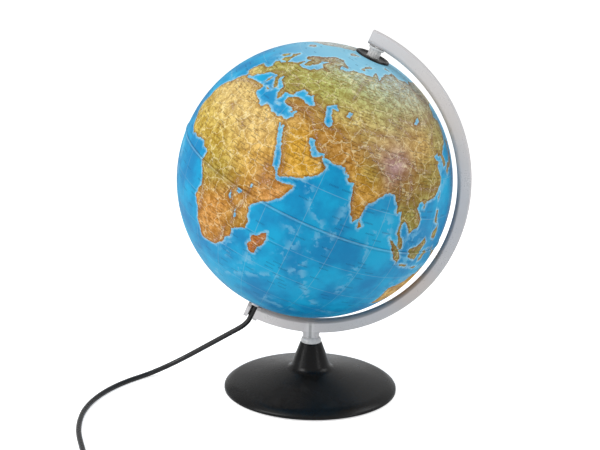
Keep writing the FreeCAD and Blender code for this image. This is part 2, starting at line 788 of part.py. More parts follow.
def make_switch():
    """Build the in-line rocker switch in two halves, with its rocker and screws."""
    lower = switch_half("switch_body_lower", "0.1", "2.6")
    keep(lower, "switch_body_lower")
    upper = switch_half("switch_body_upper", "switch_half_height + 0.1", "switch_half_height + 0.1")
    window = new_sketch(upper, "XY_Plane", "switch_half_height")
    edge = "rocker_width / 2 + 0.3"
    outline(window, [("-10.8", f"-({edge})"), ("10.8", f"-({edge})"), ("10.8", edge), ("-10.8", edge)])
    extrude(upper, window, "20", "PartDesign::Pocket", back=True)
    keep(upper, "switch_body_upper")
    pivot = V(*SWITCH_CENTRE) + V(0, 0, SIZES["rocker_pivot"])
    rest = FreeCAD.Placement(pivot, FreeCAD.Rotation(V(0, 1, 0), ROCKER_REST))
    rocker = new_body("Rocker", rest)
    side = new_sketch(rocker)
    outline(side, [
        ("-8.8", "0"),
        ("-5", "-2.4"),
        ("5", "-2.4"),
        ("8.8", "0"),
        ("8.8", "5.6"),
        ("0", "4.4"),
        ("-8.8", "5.6"),
    ])
    extrude(rocker, side, "rocker_width", both=True)
    trunnion = doc.addObject("Part::Cylinder", "RockerPins")
    trunnion.Radius = 1.3
    trunnion.Height = 13
    trunnion.Placement = FreeCAD.Placement(pivot + V(0, 6.5, 0), FreeCAD.Rotation(V(1, 0, 0), 90))
    keep(fused("switch_rocker", [rocker, trunnion]), "switch_rocker")
    screws = []
    for x in (-22.5, 22.5):
        place = FreeCAD.Placement(V(*SWITCH_CENTRE) + V(x, 6.5, 0), FreeCAD.Rotation())
        screws.append(cylinder("SwitchScrew", "1.4", "0.1", "12", place))
    return screws


def fit_switch_screws(screws):
    """Cut the screw holes in both housing halves and list the screws as one sub-part."""
    grouped("switch_screws", screws)
    for label in ("switch_body_lower", "switch_body_upper"):
        body = [piece for piece in subparts if piece.Label == label][0]
        holes = new_sketch(body, "XY_Plane", "0.1")
        for x in ("-22.5", "22.5"):
            circle(holes, (x, "6.5"), "1.4")
        extrude(body, holes, "11.9", "PartDesign::Pocket", back=True)


# ---------------------------------------------------------------- plug

def make_plug():
    """Build the flat two-pin plug lying at the end of the lead."""
    place = FreeCAD.Placement(V(*PLUG_BACK), FreeCAD.Rotation())
    body = new_body("plug_body", place)
    plan = new_sketch(body, "XY_Plane", "0.05")
    outline(plan, [
        ("0", "-4.6"), ("9", "-5.4"), ("22", "-13"), ("37", "-13"),
        ("37", "13"), ("22", "13"), ("9", "5.4"), ("0", "4.6"),
    ])
    pad = extrude(body, plan, "plug_thickness - 0.05")
    round_edges(body, pad, lambda edge: edge.CenterOfMass.x < 36.5, "2.2")
    keep(body, "plug_body")
    pins = []
    for side in (-0.5, 0.5):
        middle = V(*PLUG_BACK) + V(37, side * SIZES["pin_spacing"], SIZES["plug_thickness"] / 2)
        pin = doc.addObject("Part::Cylinder", "PlugPin")
        pin.setExpression("Radius", "Sizes.pin_radius")
        pin.Height = 19
        pin.Placement = FreeCAD.Placement(middle, FreeCAD.Rotation(V(0, 1, 0), 90))
        pins.append(pin)
    grouped("plug_pins", pins)


make_globe()
make_arm()
make_pivots()
make_lamp()
make_base()
make_lead()
fit_switch_screws(make_switch())
make_plug()
doc.recompute()

for item in doc.Objects:
    if "Invalid" in item.State or "Error" in item.State:
        raise RuntimeError(f"{item.Label} failed: {item.State}")
for piece in subparts:
    shape = piece.Shape
    if shape.isNull() or not shape.isValid() or not shape.Solids:
        raise RuntimeError(f"{piece.Label} has no valid solid")
    shape.exportStep(f"parts/{piece.Label}.step")
    box = shape.BoundBox
    print(f"{piece.Label}: {len(shape.Solids)} solid(s), {shape.Volume / 1000:.2f} cm3, "
          f"z {box.ZMin:.2f} to {box.ZMax:.2f}")
print(len(subparts), "sub-parts")
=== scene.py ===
import logging
import math
from dataclasses import dataclass, field
from enum import Enum
from functools import reduce

import bpy
import numpy as np
from mathutils import Matrix, Vector


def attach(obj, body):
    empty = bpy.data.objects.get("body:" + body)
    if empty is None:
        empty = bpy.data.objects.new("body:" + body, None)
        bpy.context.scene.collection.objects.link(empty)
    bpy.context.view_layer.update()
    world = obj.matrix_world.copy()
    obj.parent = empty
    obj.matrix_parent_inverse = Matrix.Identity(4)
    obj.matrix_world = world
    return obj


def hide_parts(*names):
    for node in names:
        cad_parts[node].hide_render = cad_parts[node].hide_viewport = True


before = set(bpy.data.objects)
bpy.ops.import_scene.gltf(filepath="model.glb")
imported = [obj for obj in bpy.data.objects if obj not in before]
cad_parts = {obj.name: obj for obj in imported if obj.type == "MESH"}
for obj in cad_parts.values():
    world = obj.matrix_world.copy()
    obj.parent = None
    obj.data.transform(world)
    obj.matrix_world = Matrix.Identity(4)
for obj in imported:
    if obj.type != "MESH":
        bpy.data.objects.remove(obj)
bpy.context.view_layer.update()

log = logging.getLogger("desktop_globe")

Point = tuple[float, float, float]
Place = tuple[float, float]
Colour = tuple[float, float, float, float]
Socket = bpy.types.NodeSocket

# The globe's frame: its centre, and the lean of the polar axis from the vertical towards +X.
GLOBE_CENTRE = Vector((0.0, 0.0, 0.242))
AXIS_TILT = math.radians(23.5)
GLOBE_RADIUS = 0.150
LIP_HEIGHT = 0.0008

SCREEN_GAMMA = 2.2  # power that turns a colour as seen into a linear one
HALF_TURN = 180.0
FULL_TURN = 360.0

# The Mix node's sockets for colours: the share and both colours in, and the mixed colour out.
MIX_INPUTS = (0, 6, 7)
MIX_COLOUR = 2

# Least and most roughness, as shares of a finish's own roughness.
GLOSSIEST = 0.85
DULLEST = 1.2

# ------------------------------------------------------------------ the printed map
# Coast outlines as (longitude, latitude) in degrees, each a closed ring.

LANDS: dict[str, list[Place]] = {
    "africa": [
        (-6, 35.8), (-9.8, 31.5), (-9.9, 29.5), (-13, 27.7), (-16, 24), (-17, 21), (-16.3, 19), (-17.5, 14.7),
        (-16.8, 12.4), (-13.3, 9), (-11.5, 6.9), (-7.5, 4.4), (-4, 5.2), (-2, 4.8), (1.2, 6), (4.4, 6.4),
        (6, 4.3), (8.5, 4.6), (9.7, 3.8), (9.5, 1), (8.8, -0.8), (11, -3.8), (12.3, -6), (13.4, -8.8),
        (13.8, -11), (12.5, -13.5), (11.8, -17.2), (14.5, -22.8), (15.2, -27), (17.3, -30.5), (18.2, -33.9),
        (20, -34.8), (22.5, -34), (25.7, -34), (28.3, -32.8), (31, -29.9), (32.8, -27.5), (32.7, -25.8),
        (35.5, -23.8), (35.4, -21), (34.8, -19.8), (37, -17.8), (40.6, -15.5), (40.6, -11), (39.3, -8.5),
        (39.3, -6.8), (38.8, -5.5), (40.2, -2.6), (42.5, -0.3), (46, 2.4), (49, 6), (51.1, 10.6),
        (51.2, 11.9), (48.5, 11.3), (44.5, 10.4), (43.2, 11.6), (42.7, 13), (40, 15), (38.5, 18),
        (37.3, 20.5), (36.9, 22), (35.6, 24), (34, 26.6), (32.5, 29.9), (33.4, 30.6), (33.2, 31.2),
        (30.9, 31.5), (29, 30.9), (25, 31.6), (23.2, 32.3), (20.8, 32.7), (20, 31), (19.5, 30.3),
        (17.5, 30.9), (15.3, 32.3), (13, 32.9), (11, 33.3), (10.1, 34.2), (10.7, 35.5), (11, 37),
        (9.7, 37.3), (6, 37), (2, 36.7), (-1, 35.8), (-3, 35.2), (-5.3, 35.9),
    ],
    "eurasia": [
        (32.2, 30.2), (34.3, 27.8), (34.9, 29.5), (35.5, 27.8), (37.2, 25), (39, 22), (40.8, 19.8),
        (42.6, 16.5), (43.3, 12.7), (45, 12.8), (48, 14), (52.2, 15.6), (55, 17), (57.8, 19), (59.8, 22.5),
        (58.5, 23.6), (56.4, 24.8), (56.3, 26.2), (55, 25.2), (54, 24.2), (51.5, 24.3), (51.5, 25.8),
        (50.8, 25.5), (50, 26.6), (48.7, 28.3), (47.8, 29.8), (48.8, 30.3), (50.2, 30), (51, 28.8),
        (52.5, 27.5), (54.5, 26.6), (56.8, 27), (57.2, 25.8), (61.5, 25.1), (66.5, 25.2), (67.3, 24),
        (68.5, 23.5), (70.3, 22.8), (69, 22.3), (70.5, 20.8), (72.3, 21.2), (72.8, 19), (73.5, 16),
        (74.7, 13), (76.2, 10), (77.5, 8.1), (78.2, 9), (79.8, 10.3), (80.2, 13.2), (80.2, 15.7),
        (82.3, 16.7), (85, 19.5), (87, 21.5), (89, 21.8), (91.8, 22.4), (92.3, 20.7), (94.3, 18),
        (94.3, 16), (95.3, 15.8), (97.2, 16.9), (97.6, 14.5), (98.6, 11.5), (98.3, 8.2), (100, 6.4),
        (101.3, 2.8), (103.5, 1.3), (104.2, 1.4), (103.4, 4.5), (102.2, 6.2), (100.5, 7.3), (99.3, 9.3),
        (100, 13.4), (101, 12.7), (102.7, 11.8), (104.8, 8.6), (106.7, 10.4), (109.2, 11.7), (108.9, 15.3),
        (105.7, 18.9), (106.7, 20.6), (108.2, 21.6), (110, 20.3), (110.6, 21.2), (113.6, 22.2),
        (116.7, 23.2), (119.5, 25.6), (121.6, 28.5), (122, 30.8), (120.3, 34), (119.2, 35), (122.5, 37),
        (119, 37.3), (117.7, 39), (121.5, 40.8), (121.3, 39), (124, 39.9), (125.2, 38), (126.5, 34.5),
        (129.3, 35.3), (129.4, 37), (127.5, 39.7), (130.7, 42.3), (135, 43.6), (139, 47), (140.5, 50),
        (141.4, 53), (137.5, 54), (135.2, 54.8), (143, 59.3), (149, 59.6), (155, 59.3), (159.5, 61.7),
        (163, 62), (160, 60.5), (156, 57.5), (155.8, 53), (156.8, 51), (160, 53), (162, 55.5), (163.5, 58.5),
        (170, 60), (177, 62.5), (179.5, 64.5), (186, 64.8), (190, 66), (185, 67.3), (180, 68.9), (171, 70),
        (161, 69.5), (152, 71), (140, 72.6), (130, 71.2), (127, 73), (113, 73.8), (106, 77.3), (100, 76.3),
        (87, 75), (80.5, 72.2), (75, 68.5), (73.5, 71.5), (70, 73.2), (67, 69.5), (60, 69), (54, 68.5),
        (46, 68), (44, 66.2), (40, 64.6), (38, 65), (35, 64.3), (33, 66.5), (41, 66.8), (40, 67.8),
        (31, 69.8), (27, 71.1), (18, 69.7), (14, 67), (10.5, 64), (5.2, 62), (5.5, 59), (8, 58),
        (10.6, 59.3), (11.3, 58), (12.7, 55.5), (14.3, 55.6), (16.5, 57), (18.8, 60), (17.3, 62),
        (21.5, 64.5), (24.5, 65.8), (21.3, 63), (21.5, 60.9), (25, 60.1), (30, 59.9), (24, 59.2),
        (23.5, 58.7), (24.4, 57.2), (21.1, 57), (21, 55.2), (18.6, 54.5), (14.2, 54), (11, 54), (10.2, 56),
        (10.5, 57.6), (8.2, 56.8), (8.6, 54), (6.8, 53.6), (4.6, 52.8), (3.3, 51.4), (1.6, 50.8),
        (0.2, 49.6), (-1.6, 49.6), (-4.7, 48.4), (-1.3, 46), (-1.3, 43.5), (-8.3, 43.7), (-9.4, 38.8),
        (-8.9, 37), (-6.3, 36.7), (-5.4, 36), (-2, 36.8), (-0.3, 39), (3, 41.8), (4.5, 43.4), (7.5, 43.8),
        (10, 44), (12.3, 41.8), (15.9, 39), (16.1, 38), (17, 39.2), (16.7, 40.5), (18.5, 40.1), (14, 42.5),
        (12.4, 44.5), (13.7, 45.7), (15.2, 44), (19.4, 42), (20, 39.7), (22, 37), (23, 36.5), (24, 38),
        (23, 40.5), (26, 40.8), (29, 41.1), (28, 43), (30, 45.8), (33.5, 46), (33.6, 44.5), (36.5, 45.2),
        (38, 47), (37.5, 45), (41.5, 42), (38, 41), (33, 42), (29.2, 41.2), (26.5, 39.5), (27.5, 37),
        (30.6, 36.6), (34, 36.3), (36, 36.5), (35.5, 33.5), (34.2, 31.3), (32, 31.1),
    ],
    "britain": [
        (-5.5, 50.1), (1.4, 51.3), (1.7, 52.7), (0, 53.5), (-1.6, 55.5), (-2, 57.5), (-3.2, 58.6),
        (-5, 58.6), (-5.5, 56), (-3, 54.5), (-4.5, 53.2), (-5.2, 51.8), (-3, 51.4),
    ],
    "ireland": [(-6.2, 52.2), (-6, 54.4), (-8, 55.2), (-10, 54), (-10.2, 51.8)],
    "iceland": [(-22.5, 64), (-18.5, 63.4), (-13.8, 65), (-16, 66.5), (-22.5, 66.2), (-23.8, 65)],
    "sicily": [(12.5, 37.9), (15.6, 38.2), (15.1, 36.7)],
    "sardinia": [(8.4, 39), (9.6, 39.2), (9.5, 41.2), (9.4, 43), (8.6, 42.2), (8.3, 40.8)],
    "crete": [(23.6, 35.4), (26.2, 35.3), (24.8, 34.8)],
    "cyprus": [(32.4, 34.9), (34.4, 35.6), (33.8, 34.8)],
    "madagascar": [
        (49.3, -12), (50.4, -15.6), (49.4, -18), (47.2, -25), (45.2, -25.6), (43.4, -22.5), (44.4, -19.9),
        (44, -17), (46.4, -15.7),
    ],
    "ceylon": [(79.9, 9.6), (81.7, 7.5), (80.5, 5.9), (79.8, 7.5)],
    "sumatra": [(95.3, 5.6), (98, 4.5), (103.5, 0), (106, -3), (105.8, -5.8), (102.3, -4), (98.8, 1.5)],
    "java": [(105.3, -6.8), (108.5, -6.6), (112.6, -6.9), (114.5, -8.6), (109, -7.7)],
    "lesser_sundas": [(116, -8.5), (120, -8.4), (123, -8.4), (120.5, -9.9), (116.5, -9)],
    "timor": [(123.5, -10.2), (127, -8.5), (124.5, -10.2)],
    "borneo": [(109, 1.5), (113, 3.2), (117, 7), (119, 5), (117.5, 1), (116, -4), (111, -3), (110, -1)],
    "sulawesi": [
        (119.8, 0.2), (121, 1.2), (125, 1.6), (121.5, 0.5), (123.3, -1), (121.8, -2), (122.8, -4.8),
        (120.4, -5.5), (119.5, -3.5),
    ],
    "halmahera": [(127.6, 0), (128, 2), (128.6, 0.8), (128, -0.8)],
    "new_guinea": [
        (131, -0.9), (134.2, -0.9), (135, -3.3), (141, -2.6), (147.8, -6), (150.5, -10.4), (144, -7.8),
        (142, -9.2), (138, -8.2), (133, -4),
    ],
    "luzon": [(120.5, 18.4), (122.2, 18.4), (121.8, 15.5), (124, 12.7), (120.3, 14)],
    "mindanao": [(122, 7), (125.5, 5.8), (126.4, 8.5), (125.3, 12.3), (123, 11), (122, 10)],
    "taiwan": [(121.8, 25.2), (120.8, 22), (120.1, 23.5)],
    "hainan": [(108.7, 19.3), (110.8, 20), (110, 18.4)],
    "honshu": [
        (131, 34), (135, 33.5), (139.8, 35), (141, 36), (142, 39.6), (141.2, 41.4), (140, 40), (138, 37.4),
        (136, 36), (133, 35.5),
    ],
    "kyushu": [(129.8, 33), (131.5, 33.8), (134.5, 34.2), (133, 32.8), (131, 31)],
    "hokkaido": [(140, 41.6), (143, 42), (145.4, 43.3), (142, 45.5), (141, 43.2)],
    "sakhalin": [(142, 46), (143.5, 49), (143, 54), (142, 52), (142, 49)],
    "novaya_zemlya": [(52, 71), (57, 70.8), (56, 73), (68, 76.7), (62, 76.3), (54, 73.8)],
    "spitsbergen": [(11, 79), (17, 76.6), (24, 78), (27, 80.3), (15, 80)],
    "severnaya": [(95, 79), (105, 78.5), (97, 81)],
    "australia": [
        (113.7, -22.5), (114.2, -26.3), (115.7, -31.8), (115, -34.3), (118, -35), (123.5, -33.9),
        (126, -32.3), (131.5, -31.5), (135.5, -34.8), (137.8, -32.6), (138, -35.5), (140.5, -38),
        (144.5, -38.3), (146.4, -39), (150, -37.3), (151.5, -33), (153.5, -28), (152.5, -25), (149, -21),
        (146.3, -19), (145.4, -15), (143.5, -14.3), (142.5, -10.8), (141.6, -13), (140.9, -17.5),
        (139, -17.3), (135.5, -15), (136.7, -12.2), (132.6, -11.5), (130.8, -12.4), (129, -15), (126, -14),
        (123.5, -17), (121.5, -18.7), (117, -20.6),
    ],
    "tasmania": [(144.7, -40.8), (148.2, -40.9), (147, -43.5)],
    "north_zealand": [(173, -34.6), (175.8, -36.7), (178.4, -37.7), (175.3, -41.5), (173.8, -39.3)],
    "south_zealand": [(172.8, -40.6), (174.2, -41.7), (170.7, -45.8), (168, -46.6), (167, -45.2), (171, -42.5)],
    "north_america": [
        (-168, 65.7), (-161, 64), (-165, 61), (-158, 58.5), (-164, 54.7), (-152, 59.5), (-146, 60.5),
        (-135, 58.5), (-130, 54.5), (-124.5, 48.4), (-124.2, 43), (-122.4, 37.2), (-118.4, 33.8),
        (-117, 32.5), (-115, 28.8), (-109.8, 23), (-112.5, 27.5), (-114.6, 31.6), (-109, 25.8),
        (-105.5, 20.5), (-100, 17), (-95, 16), (-92, 14.4), (-87.5, 13), (-85.7, 10), (-83, 8.4), (-80, 7.4),
        (-77.5, 7), (-76.8, 8.4), (-79.8, 9.5), (-83.5, 11), (-83.4, 15), (-88, 15.8), (-87, 21.4),
        (-90.3, 21), (-91, 18.7), (-94.5, 18.2), (-97.7, 22), (-97.3, 27.5), (-94, 29.6), (-89.5, 29.3),
        (-84.5, 30), (-82.7, 28), (-81, 25.2), (-80.2, 27), (-81.4, 31), (-76, 35.2), (-74, 40.6), (-70, 42),
        (-66.5, 44.8), (-65, 43.6), (-60.5, 46), (-64.5, 48.5), (-67, 49.5), (-60, 50.3), (-55.7, 52.5),
        (-61.5, 57), (-65, 60), (-70, 61), (-78, 62.3), (-77, 58), (-79, 54.5), (-79.5, 51.5), (-82.5, 53),
        (-87.5, 56.5), (-94.5, 59), (-93, 62), (-87, 64.5), (-86, 67.5), (-95, 69), (-100, 67.8),
        (-115, 68.5), (-128, 70.2), (-141, 69.6), (-156.5, 71.2), (-166, 68.3), (-162, 66.3),
    ],
    "baffin": [(-64, 62.5), (-78, 65), (-74, 68), (-88, 70.5), (-80, 73.7), (-71, 71), (-62, 66.5)],
    "victoria": [(-124, 72), (-117, 69.5), (-102, 69), (-106, 73), (-118, 75)],
    "ellesmere": [(-90, 76.5), (-78, 76.3), (-64, 82), (-75, 83), (-90, 81.5)],
    "greenland": [
        (-44, 60), (-40, 65), (-23, 70), (-19, 75), (-12, 81.5), (-32, 83.5), (-60, 82), (-72, 78.5),
        (-60, 76), (-54, 71), (-53.5, 67), (-50, 62),
    ],
    "newfoundland": [(-59, 47.7), (-53, 46.8), (-55.5, 51.4), (-57.5, 50)],
    "cuba": [(-84.8, 21.9), (-80, 23), (-74.3, 20.2), (-77.6, 19.9)],
    "hispaniola": [(-74.3, 18.4), (-73, 19.9), (-68.5, 18.5), (-71, 17.9)],
    "south_america": [
        (-77.6, 7.6), (-75.5, 10.6), (-71.6, 12.2), (-70, 12), (-68, 10.6), (-62, 10.7), (-60, 8.5),
        (-57, 6), (-51.5, 4.2), (-50, 0.5), (-48, -0.8), (-44, -2.6), (-40, -2.9), (-35.2, -5.5), (-34.8, -8),
        (-37.2, -11.5), (-39, -14), (-39, -18), (-41, -22), (-44.5, -23.2), (-48.6, -26), (-50, -29.5),
        (-53.5, -34), (-58.3, -34), (-57, -36.5), (-62, -38.9), (-65, -41), (-65.5, -45), (-67.6, -46.3),
        (-65.8, -48), (-69, -51), (-68.4, -52.5), (-65.3, -54.8), (-71, -54.8), (-75, -50.5), (-73.5, -42),
        (-73.6, -37.3), (-71.5, -32), (-70.3, -25), (-70.3, -18.4), (-76.2, -13.8), (-79.5, -7.5),
        (-81.3, -4.7), (-80, -2.5), (-80, 0.5), (-77.5, 4), (-77.9, 7),
    ],
    "antarctica": [
        (-195, -78), (-160, -78), (-150, -77), (-135, -74.5), (-100, -74), (-75, -73), (-68, -68),
        (-57, -63.3), (-60, -68), (-62, -74), (-78, -78), (-35, -78), (-20, -74), (-5, -71), (20, -70),
        (50, -67), (70, -69), (90, -66.5), (120, -67), (145, -67.5), (165, -71), (165, -77), (195, -78),
        (195, -95), (-195, -95),
    ],
}

LAKES: dict[str, list[Place]] = {
    "caspian": [
        (47, 45), (51, 46.8), (53, 45), (50.5, 44.3), (51.5, 41.5), (53.8, 39), (53.5, 36.9), (50, 37.4),
        (49, 40.3), (47.5, 43),
    ],
    "aral": [(58.5, 44), (61, 44), (61, 46.5), (59, 46.3)],
    "victoria_lake": [(31.7, -0.3), (34.2, 0.3), (33.5, -2.5), (31.8, -2.4)],
    "tanganyika": [(29.1, -3.4), (29.9, -5), (31.3, -8.6), (30.4, -8.2), (29.1, -6)],
    "malawi": [(33.9, -9.6), (35, -12), (35.3, -14.3), (34.3, -13.8), (34, -11.5)],
    "baikal": [(104, 51.4), (109.8, 55.6), (109.4, 53), (106, 51.4)],
    "turkana": [(35.8, 4.4), (36.4, 4.2), (36.8, 2.6), (36.2, 2.8)],
    "superior": [(-92, 46.6), (-85, 46.7), (-88, 48.8)],
    "michigan": [(-87.5, 41.7), (-86.3, 43), (-85, 45.6), (-87.8, 45)],
    "huron": [(-84, 45.8), (-82.4, 43.2), (-80, 44.6), (-81, 46)],
    "erie": [(-83, 41.7), (-79, 42.8), (-76.3, 43.5), (-79.5, 43.4)],
}

# Mountain ranges and, under water, ridges and shelves: half width in degrees, then the crest.
RANGES: list[tuple[float, list[Place]]] = [
    (2.6, [(70, 35), (74, 36), (78, 32.5), (84, 29), (90, 28), (96, 29)]),
    (2.0, [(76, 37.5), (85, 36.3), (95, 36), (102, 33)]),
    (1.9, [(66, 39), (70, 42), (78, 42), (88, 43.5)]),
    (2.0, [(83, 50), (92, 48), (98, 46)]),
    (2.2, [(92, 52), (103, 51), (115, 53), (130, 56)]),
    (2.2, [(127, 70), (130, 64), (138, 61), (150, 63)]),
    (1.9, [(38, 39.5), (44, 37), (48, 33.5), (52, 29.5), (57, 27.5)]),
    (1.4, [(48, 37), (52, 36), (58, 37.5), (63, 35)]),
    (1.3, [(39, 43.8), (44, 42.8), (48, 41)]),
    (1.4, [(29, 37.5), (36, 38), (43, 39)]),
    (1.2, [(6, 45), (10, 46.7), (15, 47)]),
    (1.1, [(18, 49), (24, 48), (26, 45.5), (22, 45)]),
    (1.2, [(16, 44.5), (20, 42), (22, 39)]),
    (1.8, [(7, 60.5), (13, 64), (19, 68.5)]),
    (1.3, [(58, 52), (59, 58), (60, 64), (66, 67.5)]),
    (1.6, [(-8, 30.8), (-4, 33), (2, 35), (8, 35.5)]),
    (1.8, [(5.5, 24), (8, 23)]),
    (1.8, [(17, 21.5), (19, 20)]),
    (2.6, [(38, 14), (38.5, 10), (39, 7), (42, 9)]),
    (1.9, [(30, 3), (29.5, -2), (31, -7), (34.5, -11), (34, -17)]),
    (1.6, [(36.5, 2), (36, -3), (35.5, -8)]),
    (1.8, [(27, -32), (29.5, -29), (31, -25.5), (31.5, -20)]),
    (1.6, [(14, -9), (16, -14), (16, -22)]),
    (1.4, [(49, -15), (47, -19), (46.5, -23)]),
    (1.2, [(73.5, 20), (74.5, 15), (77, 9.5)]),
    (1.3, [(93.5, 26), (94.5, 20)]),
    (2.2, [(98, 31), (100, 26), (99, 20)]),
    (1.4, [(102, 22), (105, 18), (108, 14.5)]),
    (2.0, [(104, 33), (112, 33)]),
    (2.0, [(105, 26), (115, 26), (118, 27)]),
    (1.5, [(117, 44), (120, 48), (124, 52)]),
    (1.3, [(127, 41), (129, 38)]),
    (1.0, [(132, 34.5), (138, 36), (140.5, 40), (143, 43.3)]),
    (1.4, [(157, 52), (160, 57), (167, 62)]),
    (1.5, [(45, 14), (42.5, 19), (39, 25), (36, 28.5)]),
    (1.2, [(56.5, 25), (59, 22.5)]),
    (1.6, [(145.5, -17), (148, -22), (151.5, -28), (149, -35), (146.5, -37.5)]),
    (1.6, [(116, -22.5), (121, -23), (129, -25)]),
    (1.4, [(135, -3.8), (141, -4.8), (147, -8.5)]),
    (1.0, [(97, 4), (101, -1), (104, -4.5)]),
    (1.3, [(112, 1), (116, 4)]),
    (3.4, [(-150, 63), (-135, 60), (-122, 53), (-115, 48), (-109, 42), (-106, 37), (-105, 30), (-100, 20)]),
    (1.2, [(-122, 48), (-121, 41), (-118, 36)]),
    (1.6, [(-85, 34), (-80, 38), (-74, 43), (-70, 46)]),
    (2.2, [(-73, 9), (-76, 2), (-78, -4), (-75, -12), (-69, -17), (-68, -24), (-70, -33), (-72, -42),
           (-73, -50)]),
    (2.2, [(-44, -18), (-46, -22)]),
    (1.8, [(-66, 5), (-61, 5)]),
]

SHOALS: list[tuple[float, list[Place]]] = [
    (1.6, [(72.5, 12), (73, 4), (72, -5), (72, -9)]),
    (2.2, [(57.5, -20), (60, -15), (61, -8), (56, -4.5)]),
    (1.6, [(50, 15), (57, 14), (60, 8), (67, 2), (68, -10), (67, -20), (70, -26), (78, -38), (100, -47)]),
    (1.5, [(67, -22), (60, -31), (50, -37), (38, -44), (25, -52)]),
    (2.6, [(46, -28), (46, -34), (44, -38)]),
    (1.5, [(88, 8), (88, -10), (88, -28)]),
    (2.4, [(36, -28), (34, -34)]),
    (2.2, [(92, 12), (94, 8)]),
    (4.2, [(106, 4), (108, 0), (112, -4), (109, 7)]),
    (2.6, [(113, -20), (124, -13), (132, -10), (139, -12)]),
    (3.6, [(123, 36), (125, 30), (121, 27)]),
    (3.0, [(60, -50), (75, -52)]),
    (1.8, [(-30, 62), (-34, 52), (-30, 40), (-43, 28), (-45, 15), (-32, 2), (-13, -5), (-13, -25), (-10, -45)]),
    (1.6, [(-110, 20), (-104, 5), (-110, -15), (-113, -35), (-125, -50)]),
    (2.6, [(-80, 27), (-76, 24)]),
    (3.2, [(-60, -45), (-58, -51)]),
    (2.2, [(-50, 46), (-60, 44)]),
    (3.0, [(0, 56), (4, 55), (-8, 50)]),
    (3.6, [(160, -35), (168, -28)]),
    (1.4, [(-155, 20), (-170, 27), (172, 35)]),
]

# Land tints: longitude, latitude and reach in degrees, then red, green and blue as seen.
TINTS: list[tuple[float, float, float, float, float, float]] = [
    (0, 25, 10, 0.87, 0.77, 0.53), (16, 24, 9, 0.86, 0.75, 0.50), (28, 25, 7, 0.85, 0.72, 0.46),
    (-6, 12, 7, 0.74, 0.64, 0.27), (9, 10, 7, 0.70, 0.60, 0.25), (20, 1, 8, 0.60, 0.54, 0.22),
    (23, 12, 6, 0.80, 0.66, 0.34), (32, 12, 6, 0.82, 0.64, 0.32), (42, 9, 6, 0.84, 0.60, 0.38),
    (36, -3, 5, 0.80, 0.58, 0.30), (28, -12, 8, 0.78, 0.53, 0.22), (24, -25, 7, 0.78, 0.54, 0.24),
    (36, -15, 5, 0.70, 0.56, 0.24), (47, -20, 5, 0.80, 0.46, 0.20), (46, 23, 8, 0.86, 0.67, 0.30),
    (55, 33, 6, 0.66, 0.46, 0.22), (36, 38, 5, 0.66, 0.48, 0.24), (66, 30, 5, 0.70, 0.50, 0.26),
    (88, 33, 6, 0.72, 0.60, 0.67), (82, 39, 5, 0.84, 0.72, 0.48), (66, 44, 8, 0.78, 0.68, 0.42),
    (105, 44, 8, 0.78, 0.63, 0.38), (70, 60, 12, 0.66, 0.71, 0.50), (100, 63, 12, 0.64, 0.66, 0.50),
    (135, 65, 12, 0.66, 0.64, 0.50), (45, 57, 9, 0.63, 0.66, 0.36), (20, 50, 7, 0.58, 0.60, 0.30),
    (4, 47, 6, 0.60, 0.60, 0.32), (15, 63, 6, 0.58, 0.52, 0.34), (77, 21, 6, 0.78, 0.58, 0.26),
    (79, 27, 4, 0.66, 0.60, 0.28), (102, 18, 6, 0.56, 0.55, 0.27), (98, 25, 5, 0.58, 0.44, 0.22),
    (114, 30, 7, 0.58, 0.54, 0.27), (126, 46, 6, 0.60, 0.58, 0.34), (138, 37, 5, 0.60, 0.56, 0.30),
    (112, 0, 9, 0.52, 0.52, 0.25), (141, -5, 7, 0.52, 0.50, 0.25), (122, 12, 6, 0.56, 0.54, 0.26),
    (124, -24, 9, 0.86, 0.66, 0.30), (140, -27, 8, 0.86, 0.62, 0.28), (149, -29, 6, 0.72, 0.58, 0.28),
    (-100, 60, 14, 0.66, 0.68, 0.50), (-113, 42, 9, 0.66, 0.48, 0.26), (-86, 38, 9, 0.62, 0.62, 0.30),
    (-103, 25, 7, 0.76, 0.56, 0.28), (-60, -5, 12, 0.54, 0.57, 0.27), (-48, -15, 8, 0.72, 0.58, 0.28),
    (-65, -34, 9, 0.78, 0.64, 0.34), (-72, -20, 5, 0.62, 0.42, 0.22), (-42, 72, 12, 0.93, 0.94, 0.96),
    (0, -85, 20, 0.94, 0.95, 0.97), (90, -75, 20, 0.94, 0.95, 0.97), (-120, -80, 20, 0.94, 0.95, 0.97),
]


# ------------------------------------------------------------------ shared helpers

class Side(Enum):
    """Which half of the globe a shell is."""

    NORTH = 1
    SOUTH = -1


def seen_colour(red: float, green: float, blue: float) -> Colour:
    """Turn a colour as seen on a screen into the linear colour a shader takes.

    Args:
        red: Red share, 0 to 1.
        green: Green share, 0 to 1.
        blue: Blue share, 0 to 1.

    Returns:
        The linear colour with full alpha.
    """
    return (red ** SCREEN_GAMMA, green ** SCREEN_GAMMA, blue ** SCREEN_GAMMA, 1.0)


